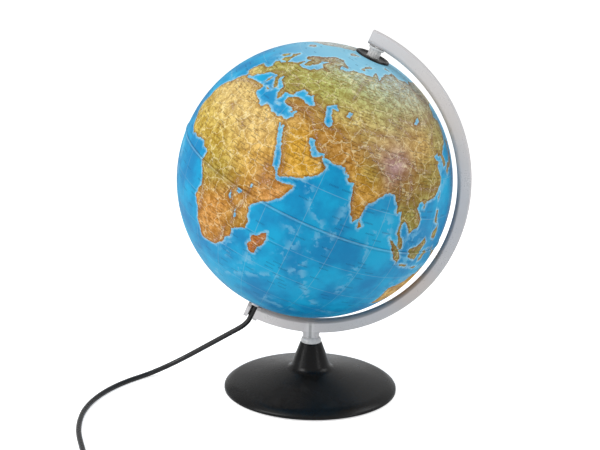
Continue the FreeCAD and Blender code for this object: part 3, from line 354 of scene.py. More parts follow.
@dataclass
class Wiring:
    """Short calls for adding and joining nodes in one node tree."""

    tree: bpy.types.NodeTree

    def add(self, kind: str, **values: object) -> bpy.types.Node:
        """Add a node and set its properties.

        Args:
            kind: The node's type name without its ShaderNode prefix.
            values: Properties of the node, by name.

        Returns:
            The new node.
        """
        node = self.tree.nodes.new("ShaderNode" + kind)
        for name, value in values.items():
            setattr(node, name, value)
        return node

    def feed(self, socket: Socket, value: object) -> None:
        """Link a socket to another, or set it to a plain value.

        Args:
            socket: The input socket.
            value: An output socket, a number or a colour.
        """
        if isinstance(value, bpy.types.NodeSocket):
            self.tree.links.new(value, socket)
        else:
            socket.default_value = value

    def settle(self, node: bpy.types.Node, values: dict[str, float]) -> None:
        """Set inputs of a node to plain numbers.

        Args:
            node: The node.
            values: Numbers by input name.
        """
        for name, value in values.items():
            node.inputs[name].default_value = value

    def calc(self, operation: str, first: object, second: object = 0.0) -> Socket:
        """Combine two numbers.

        Args:
            operation: Name of the Math node's operation.
            first: The first number or socket.
            second: The second number or socket.

        Returns:
            The result's socket.
        """
        node = self.add("Math", operation=operation)
        self.feed(node.inputs[0], first)
        self.feed(node.inputs[1], second)
        return node.outputs[0]

    def times(self, *factors: object) -> Socket:
        """Multiply numbers from left to right.

        Args:
            factors: Two or more numbers or sockets.

        Returns:
            The product's socket.
        """
        return reduce(lambda product, factor: self.calc("MULTIPLY", product, factor), factors)

    def step(self, value: object, low: float, high: float, start: float = 0.0, end: float = 1.0) -> Socket:
        """Map a value smoothly from one range to another.

        Args:
            value: The number or socket read.
            low: Value that gives start.
            high: Value that gives end.
            start: Result at low.
            end: Result at high.

        Returns:
            The result's socket.
        """
        node = self.add("MapRange", interpolation_type="SMOOTHSTEP")
        for index, number in enumerate((value, low, high, start, end)):
            self.feed(node.inputs[index], number)
        return node.outputs[0]

    def mix(self, share: object, first: object, second: object) -> Socket:
        """Mix two colours.

        Args:
            share: How much of the second colour shows.
            first: The first colour or socket.
            second: The second colour or socket.

        Returns:
            The mixed colour's socket.
        """
        node = self.add("Mix", data_type="RGBA")
        for index, value in zip(MIX_INPUTS, (share, first, second)):
            self.feed(node.inputs[index], value)
        return node.outputs[MIX_COLOUR]

    def noise(self, place: Socket, scale: object, detail: float = 3.0, rough: float = 0.55,
              output: int = 0) -> Socket:
        """Read a noise texture.

        Args:
            place: Coordinates.
            scale: Cells per metre, a number or a socket.
            detail: Number of finer layers.
            rough: Strength of the finer layers.
            output: 0 for the noise's value, 1 for its colour.

        Returns:
            The noise's socket.
        """
        node = self.add("TexNoise")
        self.feed(node.inputs["Vector"], place)
        self.feed(node.inputs["Scale"], scale)
        self.settle(node, {"Detail": detail, "Roughness": rough})
        return node.outputs[output]

    def stored(self, name: str) -> bpy.types.Node:
        """Add a node that reads a value stored on the mesh's points."""
        return self.add("Attribute", attribute_name=name)

    def effect(self, group: bpy.types.NodeTree, values: dict[str, float]) -> bpy.types.Node:
        """Place a shared node group.

        Args:
            group: The group.
            values: Its numbers by input name.

        Returns:
            The group's node.
        """
        node = self.add("Group", node_tree=group)
        self.settle(node, values)
        return node

    def emboss(self, shader: bpy.types.Node, height: Socket, strength: float, depth: float) -> None:
        """Give a shader fine relief from a height.

        Args:
            shader: The shader node.
            height: The height's socket.
            strength: How strongly the relief shows.
            depth: Depth of the relief in metres.
        """
        bump = self.add("Bump")
        self.settle(bump, {"Strength": strength, "Distance": depth})
        self.feed(bump.inputs["Height"], height)
        self.feed(shader.inputs["Normal"], bump.outputs["Normal"])


def new_material(name: str) -> tuple[bpy.types.Material, Wiring, bpy.types.Node]:
    """Start a material.

    Args:
        name: The material's name.

    Returns:
        The material, its wiring and its shader node.
    """
    material = bpy.data.materials.new(name)
    material.use_nodes = True
    return material, Wiring(material.node_tree), material.node_tree.nodes["Principled BSDF"]


def new_object(name: str, data: bpy.types.ID) -> bpy.types.Object:
    """Make an object and link it to the scene.

    Args:
        name: The object's name.
        data: Its mesh, curve, light or camera.

    Returns:
        The object.
    """
    made = bpy.data.objects.new(name, data)
    bpy.context.collection.objects.link(made)
    return made


def new_group(name: str, inputs: dict[str, float], outputs: list[str]) -> tuple[bpy.types.NodeTree, Wiring]:
    """Start a shader node group with number inputs and outputs.

    Args:
        name: The group's name.
        inputs: Input names with their default values.
        outputs: Output names.

    Returns:
        The group and the wiring for it.
    """
    tree = bpy.data.node_groups.new(name, "ShaderNodeTree")
    for label, value in inputs.items():
        socket = tree.interface.new_socket(label, in_out="INPUT", socket_type="NodeSocketFloat")
        socket.default_value = value
    for label in outputs:
        tree.interface.new_socket(label, in_out="OUTPUT", socket_type="NodeSocketFloat")
    return tree, Wiring(tree)


def make_grain_group() -> bpy.types.NodeTree:
    """Build the shared group for moulded or drawn surfaces.

    Returns:
        A group whose Shade varies slowly, whose Rough varies finely and whose Height is a fine grain.
    """
    tree, wires = new_group("surface_grain", {"Scale": 900.0, "Patch": 30.0}, ["Shade", "Rough", "Height"])
    ins, outs = tree.nodes.new("NodeGroupInput"), tree.nodes.new("NodeGroupOutput")
    place = wires.add("TexCoord").outputs["Object"]
    fine = wires.noise(place, ins.outputs["Scale"], 2.0, 0.5)
    broad = wires.noise(place, ins.outputs["Patch"], 4.0, 0.5)
    wires.feed(outs.inputs["Shade"], wires.step(broad, 0.3, 0.7))
    wires.feed(outs.inputs["Rough"], wires.times(fine, broad))
    wires.feed(outs.inputs["Height"], fine)
    return tree


def make_wear_group() -> bpy.types.NodeTree:
    """Build the shared group that finds worn edges.

    Returns:
        A group whose Mask is 1 on sharp outer edges, broken up by noise.
    """
    tree, wires = new_group("edge_wear", {"Breakup": 140.0}, ["Mask"])
    ins, outs = tree.nodes.new("NodeGroupInput"), tree.nodes.new("NodeGroupOutput")
    place = wires.add("TexCoord").outputs["Object"]
    speckle = wires.noise(place, ins.outputs["Breakup"], 2.0, 0.5)
    edge = wires.step(wires.add("NewGeometry").outputs["Pointiness"], 0.53, 0.62)
    wires.feed(outs.inputs["Mask"], wires.times(edge, speckle))
    return tree


GRAIN = make_grain_group()
WEAR = make_wear_group()


@dataclass(frozen=True)
class Finish:
    """One plain finish: a base colour varied by grain, wear and fine relief."""

    name: str
    colour: Colour
    worn: Colour
    roughness: float = 0.4
    metallic: float = 0.0
    grain: float = 900.0
    patch: float = 30.0
    relief: float = 0.05
    variation: float = 0.12
    specular: float = 0.5
    transmission: float = 0.0
    index: float = 1.48
    relief_depth: float = 0.0004

    def build(self) -> bpy.types.Material:
        """Build the material.

        Returns:
            The material, ready to be put on an object.
        """
        material, wires, shader = new_material(self.name)
        grain = wires.effect(GRAIN, {"Scale": self.grain, "Patch": self.patch})
        wear = wires.effect(WEAR, {})
        toned = wires.mix(wires.times(grain.outputs["Shade"], self.variation), self.colour, self.worn)
        wires.feed(shader.inputs["Base Color"], wires.mix(wear.outputs["Mask"], toned, self.worn))
        least, most = self.roughness * GLOSSIEST, self.roughness * DULLEST
        wires.feed(shader.inputs["Roughness"], wires.step(grain.outputs["Rough"], 0.1, 0.4, least, most))
        wires.emboss(shader, grain.outputs["Height"], self.relief, self.relief_depth)
        wires.settle(shader, {"Metallic": self.metallic, "Specular IOR Level": self.specular,
                              "Transmission Weight": self.transmission, "IOR": self.index})
        return material


BLACK_PLASTIC = Finish("satin_black_plastic", (0.004, 0.004, 0.0042, 1), (0.012, 0.012, 0.012, 1), 0.27,
                       grain=1500.0, relief=0.08, specular=0.24)
WHITE_PLASTIC = Finish("white_holder_plastic", (0.72, 0.72, 0.69, 1), (0.5, 0.5, 0.48, 1), 0.42)
ZINC = Finish("zinc_plated_steel", (0.55, 0.56, 0.58, 1), (0.36, 0.36, 0.37, 1), 0.28, 1.0, patch=90.0)
RAW_STEEL = Finish("rolled_steel", (0.30, 0.30, 0.31, 1), (0.16, 0.13, 0.11, 1), 0.45, 1.0, variation=0.4)
BRASS = Finish("drawn_brass", (0.62, 0.42, 0.15, 1), (0.38, 0.25, 0.10, 1), 0.3, 1.0, patch=80.0)
PAD_RUBBER = Finish("pad_rubber", (0.012, 0.012, 0.012, 1), (0.05, 0.05, 0.05, 1), 0.85, relief=0.4)
SHEATH = Finish("lead_sheath", (0.007, 0.007, 0.008, 1), (0.03, 0.03, 0.03, 1), 0.30, grain=500.0)
CLEAR_PLASTIC = Finish("clear_moulded_plastic", (0.88, 0.88, 0.88, 1), (0.66, 0.66, 0.67, 1), 0.16,
                       relief=0.02, transmission=0.22, patch=320.0, variation=0.6)
FROSTED_GLASS = Finish("frosted_bulb_glass", (0.93, 0.93, 0.92, 1), (0.8, 0.8, 0.8, 1), 0.45, transmission=0.7)
TIE_CLOTH = Finish("tie_cloth", (0.012, 0.012, 0.014, 1), (0.05, 0.05, 0.055, 1), 0.9, grain=2600.0, relief=0.9)

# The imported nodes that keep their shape, by the finish they get.
DRESSED: dict[Finish, list[str]] = {
    BLACK_PLASTIC: ["north_pole_cap", "base_shell", "base_cover", "switch_body_lower", "switch_body_upper",
                    "switch_rocker", "plug_body"],
    WHITE_PLASTIC: ["north_pole_bush", "south_collar", "lamp_holder_base", "lamp_holder_shell"],
    ZINC: ["south_pivot_tube", "tube_nut", "tie_screw", "tie_washer", "cover_screws", "switch_screws"],
    RAW_STEEL: ["ballast_plate", "bulb_filament"],
    BRASS: ["lamp_thread_sleeve", "centre_contact", "bulb_cap", "plug_pins"],
    PAD_RUBBER: ["base_pad"],
    CLEAR_PLASTIC: ["equator_joint_ring", "north_pivot_pin", "ribbed_ring"],
    FROSTED_GLASS: ["bulb_glass"],
    TIE_CLOTH: ["coil_tie"],
}


def dress(node: str, material: bpy.types.Material) -> None:
    """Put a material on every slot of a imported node.

    Args:
        node: The node's name.
        material: The material it gets.
    """
    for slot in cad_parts[node].material_slots:
        slot.material = material


# ------------------------------------------------------------------ the map

@dataclass
class WorldMap:
    """The printed relief map, as fields worked out at places on the globe."""

    reach: float = 6.0
    squash_south: float = 0.18
    squash_north: float = 0.15
    squash_band: float = 14.0
    saturation: float = 1.22
    tint_power: float = 1.6
    tint_floor: float = 1e-7
    tiny: float = 1e-9

    def printed_latitude(self, latitude: np.ndarray) -> np.ndarray:
        """Return the map's latitude at each latitude on the ball.

        Args:
            latitude: Latitudes on the ball, degrees. The print is a little drawn in at the equator.

        Returns:
            The latitudes of the map that are printed there.
        """
        south = 1 + self.squash_south * np.cos(np.radians(latitude)) ** 2
        north = 1 + self.squash_north * np.exp(-((latitude / self.squash_band) ** 2))
        return latitude * np.where(latitude < 0, south, north)

    def distance_to(self, line: list[Place], closed: bool, lon: np.ndarray, lat: np.ndarray) -> np.ndarray:
        """Return the distance in degrees from each place to a line on the map.

        Args:
            line: The line's points.
            closed: Whether the last point joins the first.
            lon: Longitudes.
            lat: Latitudes.

        Returns:
            Distances, in degrees of latitude.
        """
        nearest = np.full(lon.shape, np.inf)
        narrowing = np.cos(np.radians(np.clip(lat, -88, 88)))
        ends = line[1:] + line[:1] if closed else line[1:]
        for (x0, y0), (x1, y1) in zip(line, ends):
            run_x = (x1 - x0) * narrowing
            run_y = y1 - y0
            off_x = (lon - x0) * narrowing
            off_y = lat - y0
            along = np.clip((off_x * run_x + off_y * run_y) / (run_x ** 2 + run_y ** 2 + self.tiny), 0, 1)
            nearest = np.minimum(nearest, (off_x - along * run_x) ** 2 + (off_y - along * run_y) ** 2)
        return np.sqrt(nearest)

    def within(self, ring: list[Place], lon: np.ndarray, lat: np.ndarray) -> np.ndarray:
        """Tell which places lie inside a closed ring.

        Args:
            ring: The ring's points.
            lon: Longitudes.
            lat: Latitudes.

        Returns:
            True where the place is inside.
        """
        inside = np.zeros(lon.shape, dtype=bool)
        for (x0, y0), (x1, y1) in zip(ring, ring[1:] + ring[:1]):
            if y0 == y1:
                continue
            crosses = ((y0 > lat) != (y1 > lat)) & (lon < (x1 - x0) * (lat - y0) / (y1 - y0) + x0)
            inside ^= crosses
        return inside

    def depth_inside(self, rings: dict[str, list[Place]], lon: np.ndarray, lat: np.ndarray) -> np.ndarray:
        """Return how deep each place lies inside any ring: above 0 inside, below 0 outside.

        Args:
            rings: Closed rings by name.
            lon: Longitudes, -180 to 180.
            lat: Latitudes.

        Returns:
            Signed distances in degrees, no further out than the map's reach.
        """
        depth = np.full(lon.shape, -self.reach)
        for ring in rings.values():
            xs = [point[0] for point in ring]
            ys = [point[1] for point in ring]
            for turn in (0.0, FULL_TURN):
                around = lon + turn
                margin = self.reach / np.cos(np.radians(np.clip(lat, -80, 80)))
                near = (around > min(xs) - margin) & (around < max(xs) + margin)
                near &= (lat > min(ys) - self.reach) & (lat < max(ys) + self.reach)
                if not near.any():
                    continue
                distance = self.distance_to(ring, True, around[near], lat[near])
                signed = np.where(self.within(ring, around[near], lat[near]), distance, -distance)
                depth[near] = np.maximum(depth[near], signed)
        return depth

    def coast(self, lon: np.ndarray, lat: np.ndarray) -> np.ndarray:
        """Return the signed distance to the coast in degrees, above 0 on land."""
        return np.minimum(self.depth_inside(LANDS, lon, lat), -self.depth_inside(LAKES, lon, lat))

    def crests(self, lines: list[tuple[float, list[Place]]], lon: np.ndarray, lat: np.ndarray) -> np.ndarray:
        """Return how high each place stands on the nearest range, 0 to 1.

        Args:
            lines: Half widths with their crest lines.
            lon: Longitudes.
            lat: Latitudes.

        Returns:
            Heights that fall off smoothly to both sides of a crest.
        """
        height = np.zeros(lon.shape)
        for width, crest in lines:
            away = self.distance_to(crest, False, lon, lat)
            height = np.maximum(height, np.exp(-((away / width) ** 2)))
        return height

    def tint(self, lon: np.ndarray, lat: np.ndarray) -> np.ndarray:
        """Return the land's linear colour at each place.

        Args:
            lon: Longitudes.
            lat: Latitudes.

        Returns:
            One row of red, green, blue and alpha for each place.
        """
        narrowing = np.cos(np.radians(lat))
        total = np.full(lon.shape, self.tiny)
        mixed = np.zeros((lon.size, 3))
        for centre_lon, centre_lat, reach, *shade in TINTS:
            gap = (lon - centre_lon + HALF_TURN) % FULL_TURN - HALF_TURN
            away = np.sqrt((gap * narrowing) ** 2 + (lat - centre_lat) ** 2) / reach
            weight = np.exp(-away ** self.tint_power) + self.tint_floor / (1 + away ** 4)
            total += weight
            mixed += weight[:, None] * np.array(shade)
        colour = (mixed / total[:, None]) ** SCREEN_GAMMA
        grey = colour.mean(axis=1, keepdims=True)
        colour = np.clip(grey + (colour - grey) * self.saturation, 0.004, 1.0)
        return np.hstack([colour, np.ones((lon.size, 1))])


@dataclass
class MapReading:
    """What the map's finish reads at each place on the shell, as sockets."""

    place: Socket
    longitude: Socket
    latitude: Socket
    coast: Socket
    height: Socket
    shoal: Socket
    tint: Socket
    crumple: Socket
    fine: Socket


@dataclass
class MapFinish:
    """The satin-coated print of the map, drawn from the fields stored on the shell."""

    ocean_deep: Colour = seen_colour(0.0, 0.49, 0.70)
    ocean_open: Colour = seen_colour(0.06, 0.63, 0.81)
    polar_sea: Colour = seen_colour(0.52, 0.75, 0.84)
    shelf: Colour = seen_colour(0.46, 0.72, 0.84)
    # Pale print along the coasts, also used as the painted highlight on the lip at the equator.
    pale_halo_and_lip_highlight: Colour = seen_colour(0.66, 0.84, 0.90)
    coast_line: Colour = seen_colour(0.46, 0.28, 0.05)
    mountain: Colour = seen_colour(0.43, 0.26, 0.07)
    snow: Colour = seen_colour(0.86, 0.80, 0.82)
    snow_field: Colour = seen_colour(0.66, 0.78, 0.82)
    ink: Colour = seen_colour(0.16, 0.10, 0.07)
    # Ink of the sea's dashes, also used as the painted shadow under the lip at the equator.
    sea_ink_and_lip_shadow: Colour = seen_colour(0.0, 0.27, 0.45)
    pale_line: Colour = seen_colour(0.94, 0.90, 0.72)
    roughness: float = 0.46
    specular: float = 0.22
    # Strength of the painted glow: the shell gives off faint light in the map's own colours.
    painted_glow: float = 0.02
    relief_strength: float = 0.18
    relief_depth: float = 0.0006
    coast_fray: float = 2.6
    grid_gap: float = 15.0
    # Dashes: row height and dash length in degrees, and the share of cells that hold one.
    land_names: tuple[float, float, float] = (1.35, 4.2, 0.42)
    sea_names: tuple[float, float, float] = (2.1, 5.5, 0.16)
    dash_height: float = 0.16
    dash_length: float = 0.36
    letters_in_dash: float = 9.0
    letter_gap: float = 0.3
    # Nets: meshes per metre, width of a line as a share of a mesh, and its strength.
    pale_net: tuple[float, float, float] = (62.0, 0.022, 0.42)
    brown_net: tuple[float, float, float] = (118.0, 0.05, 0.34)

    def from_middle(self, wires: Wiring, cells: Socket) -> Socket:
        """Return how far each place is from the middle of its cell, 0 to 0.5."""
        return wires.calc("ABSOLUTE", wires.calc("SUBTRACT", wires.calc("FRACT", cells), 0.5))

    def strokes(self, wires: Wiring, at: MapReading, row: float, length: float, share: float) -> Socket:
        """Draw short dashes in rows of latitude, as stand-ins for printed names.

        Args:
            wires: The material's wiring.
            at: What is read at each place.
            row: Distance between rows in degrees.
            length: Length of a dash with its gap in degrees.
            share: Share of the cells that hold a dash.

        Returns:
            A mask that is 1 on a dash.
        """
        line = wires.calc("DIVIDE", at.latitude, row)
        level = wires.calc("FLOOR", line)
        # The two factors only scatter the rows against one another.
        offset = wires.times(wires.calc("SINE", wires.times(level, 12.9)), 43.7)
        spot = wires.calc("ADD", wires.calc("DIVIDE", at.longitude, length), offset)
        pair = wires.add("CombineXYZ")
        wires.feed(pair.inputs[0], wires.calc("FLOOR", spot))
        wires.feed(pair.inputs[1], level)
        chance = wires.add("TexWhiteNoise", noise_dimensions="2D")
        wires.feed(chance.inputs["Vector"], pair.outputs[0])
        chosen = wires.calc("LESS_THAN", chance.outputs["Value"], share)
        thin = wires.calc("LESS_THAN", self.from_middle(wires, line), self.dash_height)
        short = wires.calc("LESS_THAN", self.from_middle(wires, spot), self.dash_length)
        letter = wires.calc("FRACT", wires.times(spot, self.letters_in_dash))
        return wires.times(thin, short, wires.calc("GREATER_THAN", letter, self.letter_gap), chosen)

    def squiggle(self, wires: Wiring, place: Socket, scale: float, width: float, strength: float) -> Socket:
        """Draw a net of thin wandering lines, as printed rivers, roads and folds.

        Args:
            wires: The material's wiring.
            place: Coordinates.
            scale: Meshes of the net per metre.
            width: Width of a line as a share of a mesh.
            strength: Mask value on a line.

        Returns:
            The mask's socket.
        """
        shift = wires.add("VectorMath", operation="MULTIPLY_ADD")
        wires.feed(shift.inputs[0], wires.noise(place, scale * 1.4, 3.0, 0.5, 1))
        shift.inputs[1].default_value = (1.1 / scale,) * 3
        wires.feed(shift.inputs[2], place)
        net = wires.add("TexVoronoi", feature="DISTANCE_TO_EDGE")
        wires.feed(net.inputs["Vector"], shift.outputs[0])
        net.inputs["Scale"].default_value = scale
        return wires.step(net.outputs["Distance"], width * 0.5, width * 1.6, strength, 0.0)

    def near_line(self, wires: Wiring, value: Socket) -> Socket:
        """Return the distance in degrees to the nearest line of the grid."""
        share = wires.calc("FRACT", wires.calc("DIVIDE", value, self.grid_gap))
        return wires.times(wires.calc("MINIMUM", share, wires.calc("SUBTRACT", 1.0, share)), self.grid_gap)

    def read(self, wires: Wiring) -> MapReading:
        """Read the fields stored on the shell and the noises that several layers share.

        Args:
            wires: The material's wiring.

        Returns:
            The sockets.
        """
        place = wires.add("TexCoord").outputs["Object"]
        split = wires.add("SeparateXYZ")
        wires.feed(split.inputs[0], wires.add("UVMap", uv_map="chart").outputs[0])
        fray = wires.calc("SUBTRACT", wires.noise(place, 170.0, 5.0, 0.65), 0.5)
        return MapReading(
            place=place,
            longitude=wires.times(split.outputs[0], FULL_TURN),
            latitude=wires.times(wires.calc("SUBTRACT", split.outputs[1], 0.5), HALF_TURN),
            coast=wires.calc("ADD", wires.stored("coast").outputs["Fac"], wires.times(fray, self.coast_fray)),
            height=wires.stored("range").outputs["Fac"],
            shoal=wires.stored("shoal").outputs["Fac"],
            tint=wires.stored("tint").outputs["Color"],
            crumple=wires.noise(place, 300.0, 6.0, 0.7),
            fine=wires.noise(place, 900.0, 3.0, 0.6),
        )

    def sea(self, wires: Wiring, at: MapReading) -> Socket:
        """Colour the sea: water, shoals, the pale edge along the coast, the grid and the dashes.

        Args:
            wires: The material's wiring.
            at: What is read at each place.

        Returns:
            The colour's socket.
        """
        swell = wires.step(wires.noise(at.place, 22.0, 5.0, 0.6), 0.36, 0.66)
        ocean = wires.mix(swell, self.ocean_deep, self.ocean_open)
        ocean = wires.mix(wires.step(at.latitude, 40.0, 72.0, 0.0, 0.85), ocean, self.polar_sea)
        patch = wires.step(wires.noise(at.place, 95.0, 4.0, 0.6), 0.47, 0.56)
        ocean = wires.mix(wires.times(at.shoal, patch, 0.55), ocean, self.shelf)
        shore = wires.step(at.coast, -1.3, -0.1, 0.0, 0.62)
        shore = wires.times(shore, wires.step(at.crumple, 0.35, 0.62, 0.25, 1.0))
        ocean = wires.mix(shore, ocean, self.pale_halo_and_lip_highlight)
        grid = wires.calc("MINIMUM", self.near_line(wires, at.longitude), self.near_line(wires, at.latitude))
        ocean = wires.mix(wires.step(grid, 0.04, 0.2, 0.10, 0.0), ocean, self.pale_line)
        names = self.strokes(wires, at, *self.sea_names)
        return wires.mix(wires.times(names, 0.45), ocean, self.sea_ink_and_lip_shadow)

    def ground(self, wires: Wiring, at: MapReading, relief: Socket) -> Socket:
        """Colour the land: tints, snow, mountains, nets, the coast line and the dashes.

        Args:
            wires: The material's wiring.
            at: What is read at each place.
            relief: How mountainous each place is.

        Returns:
            The colour's socket.
        """
        frost = wires.times(wires.step(at.latitude, 52.0, 74.0), wires.step(at.crumple, 0.38, 0.58, 0.25, 0.9))
        tint = wires.mix(frost, at.tint, self.snow_field)
        dark, light = wires.mix(0.62, tint, self.mountain), wires.mix(0.20, tint, self.pale_line)
        texture = wires.step(wires.noise(at.place, 150.0, 8.0, 0.8), 0.41, 0.60)
        land = wires.mix(0.20, wires.mix(texture, dark, light), tint)
        land = wires.mix(wires.times(relief, 0.62), land, self.mountain)
        land = wires.mix(self.squiggle(wires, at.place, *self.pale_net), land, self.pale_line)
        land = wires.mix(self.squiggle(wires, at.place, *self.brown_net), land, self.coast_line)
        peaks = wires.times(wires.step(at.height, 0.80, 1.0), wires.step(at.fine, 0.52, 0.62))
        land = wires.mix(wires.times(peaks, 0.45), land, self.snow)
        rim = wires.times(wires.step(at.coast, 0.0, 0.12), wires.step(at.coast, 0.3, 1.2, 1.0, 0.0))
        land = wires.mix(wires.times(rim, 0.55), land, self.coast_line)
        names = self.strokes(wires, at, *self.land_names)
        return wires.mix(wires.times(names, 0.55), land, self.ink)

    def lip_highlight_and_shadow(self, wires: Wiring, at: MapReading, printed: Socket) -> Socket:
        """Lighten the lip south of the equator with a painted highlight and darken the line under it with a
        painted shadow.

        Args:
            wires: The material's wiring.
            at: What is read at each place.
            printed: The map's colour.

        Returns:
            The colour's socket.
        """
        # Painted highlight where the lip's top face catches the light, weaker over land.
        lip = wires.times(wires.step(at.latitude, -0.95, -0.75), wires.step(at.latitude, -0.15, 0.02, 1.0, 0.0))
        lip = wires.times(lip, 0.16, wires.step(at.coast, -0.2, 0.2, 1.0, 0.3))
        printed = wires.mix(lip, printed, self.pale_halo_and_lip_highlight)
        # Painted shadow on the band just below the lip, fainter over land.
        under = wires.times(wires.step(at.latitude, -2.3, -1.2), wires.step(at.latitude, -1.1, -0.85, 1.0, 0.0))
        under = wires.times(under, wires.step(at.coast, -0.2, 0.2, 0.2, 0.04))
        return wires.mix(under, printed, self.sea_ink_and_lip_shadow)

    def build(self) -> bpy.types.Material:
        """Build the map's material.

        Returns:
            The material for both half shells.
        """
        material, wires, shader = new_material("printed_map")
        at = self.read(wires)
        land_share = wires.step(at.coast, -0.06, 0.08)
        relief = wires.times(at.height, wires.step(at.crumple, 0.32, 0.60))
        printed = wires.mix(land_share, self.sea(wires, at), self.ground(wires, at, relief))
        # Painted highlight on the lip and painted shadow below it.
        printed = self.lip_highlight_and_shadow(wires, at, printed)
        wires.feed(shader.inputs["Base Color"], printed)
        # Painted glow: the shell emits its printed colours faintly, in place of the bulb's light shining
        # through it.
        wires.feed(shader.inputs["Emission Color"], printed)
        gloss = wires.step(at.fine, 0.3, 0.7, self.roughness * 0.9, self.roughness * 1.15)
        wires.feed(shader.inputs["Roughness"], gloss)
        wires.settle(shader, {"Emission Strength": self.painted_glow, "Specular IOR Level": self.specular})
        height = wires.times(land_share, wires.calc("ADD", relief, at.crumple))
        wires.emboss(shader, height, self.relief_strength, self.relief_depth)
        return material


@dataclass
class PrintedGlobe:
    """Both printed half shells, which turn with the globe."""

    world: WorldMap
    columns: int = 720
    rows: int = 128
    facing_longitude: float = 141.17
    wall: float = 0.0016
    lip_width: float = 0.0020
    joint_gap: float = 0.02
    pole_holes: dict[Side, float] = field(default_factory=lambda: {Side.NORTH: 0.0160, Side.SOUTH: 0.0090})

    def profile(self, side: Side) -> list[tuple[float, float]]:
        """Return the shell's outline from inside the equator to inside the pole hole.

        Args:
            side: Which half.

        Returns:
            Latitude in degrees and radius in metres, one pair for each row of points.
        """
        top = math.degrees(math.acos(self.pole_holes[side] / GLOBE_RADIUS))
        lip = math.degrees(self.lip_width / GLOBE_RADIUS)
        inner = GLOBE_RADIUS - self.wall
        if side is Side.NORTH:
            first = self.joint_gap
            outline = [(first, inner), (first, GLOBE_RADIUS)]
        else:
            first = lip * 1.15
            high = GLOBE_RADIUS + LIP_HEIGHT
            outline = [(0.0, inner), (0.0, high - LIP_HEIGHT * 0.4), (0.12, high), (lip * 0.6, high)]
            outline += [(lip, high - LIP_HEIGHT * 0.5), (first, GLOBE_RADIUS)]
        steps = np.linspace(first, top, self.rows)[1:]
        outline += [(float(angle), GLOBE_RADIUS) for angle in steps]
        outline.append((top, inner))
        return outline

    def build(self, side: Side, material: bpy.types.Material) -> bpy.types.Object:
        """Build one printed half shell.

        Args:
            side: Which half.
            material: The map's material.

        Returns:
            The shell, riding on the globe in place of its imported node.
        """
        outline = self.profile(side)
        count = len(outline)
        latitude = np.repeat([angle * side.value for angle, _ in outline], self.columns)
        radius = np.repeat([size for _, size in outline], self.columns)
        longitude = np.tile(np.arange(self.columns) * FULL_TURN / self.columns - HALF_TURN, count)
        turn = np.radians(longitude - self.facing_longitude)
        flat = np.cos(np.radians(latitude)) * radius
        local = np.stack([flat * np.cos(turn), flat * np.sin(turn), np.sin(np.radians(latitude)) * radius], 1)
        lean = np.array(Matrix.Rotation(AXIS_TILT, 3, "Y"))
        points = local @ lean.T + np.array(GLOBE_CENTRE)
        node = f"{side.name.lower()}_shell"
        mesh = self.grid_mesh(node + "_print", points, count, side)
        mapped = self.world.printed_latitude(latitude)
        self.store(mesh, "coast", self.world.coast(longitude, mapped))
        self.store(mesh, "range", self.world.crests(RANGES, longitude, mapped))
        self.store(mesh, "shoal", self.world.crests(SHOALS, longitude, mapped))
        colours = mesh.color_attributes.new("tint", "FLOAT_COLOR", "POINT")
        colours.data.foreach_set("color", self.world.tint(longitude, mapped).astype(np.float32).ravel())
        self.lay_chart(mesh, mapped)
        mesh.materials.append(material)
        shell = new_object(node + "_print", mesh)
        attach(shell, "globe")
        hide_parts(node)
        return shell

    def grid_mesh(self, name: str, points: np.ndarray, count: int, side: Side) -> bpy.types.Mesh:
        """Join rows of points into a closed band of four-sided faces.

        Args:
            name: The mesh's name.
            points: The points, row by row.
            count: Number of rows.
            side: Which half, which sets the way the faces look.

        Returns:
            The mesh, smooth shaded.
        """
        row, column = np.meshgrid(np.arange(count - 1), np.arange(self.columns), indexing="ij")
        here = row * self.columns + column
        beside = row * self.columns + (column + 1) % self.columns
        faces = np.stack([here, beside, beside + self.columns, here + self.columns], -1).reshape(-1, 4)
        if side is Side.SOUTH:
            faces = faces[:, ::-1]
        mesh = bpy.data.meshes.new(name)
        mesh.vertices.add(len(points))
        mesh.vertices.foreach_set("co", points.astype(np.float32).ravel())
        mesh.loops.add(faces.size)
        mesh.loops.foreach_set("vertex_index", faces.astype(np.int32).ravel())
        mesh.polygons.add(len(faces))
        mesh.polygons.foreach_set("loop_start", np.arange(0, faces.size, 4, dtype=np.int32))
        mesh.update(calc_edges=True)
        smooth = np.ones((count - 1, self.columns), dtype=bool)
        smooth[[0, -1]] = False
        mesh.polygons.foreach_set("use_smooth", smooth.ravel())
        return mesh

    def store(self, mesh: bpy.types.Mesh, name: str, values: np.ndarray) -> None:
        """Store one number at each point of a mesh under a name."""
        layer = mesh.attributes.new(name, "FLOAT", "POINT")
        layer.data.foreach_set("value", values.astype(np.float32))

    def lay_chart(self, mesh: bpy.types.Mesh, latitude: np.ndarray) -> None:
        """Give the mesh chart coordinates: longitude across and map latitude up.

        Args:
            mesh: The shell's mesh.
            latitude: Map latitude at each point, degrees.
        """
        corners = np.empty(len(mesh.loops), dtype=np.int32)
        mesh.loops.foreach_get("vertex_index", corners)
        across = (corners % self.columns).reshape(-1, 4)
        last = across.max(axis=1, keepdims=True) - across.min(axis=1, keepdims=True) > 1
        across = np.where(last & (across == 0), self.columns, across).ravel()
        up = latitude[corners] / HALF_TURN + 0.5
        layer = mesh.uv_layers.new(name="chart")
        layer.data.foreach_set("uv", np.stack([across / self.columns, up], 1).astype(np.float32).ravel())


# ------------------------------------------------------------------ arm

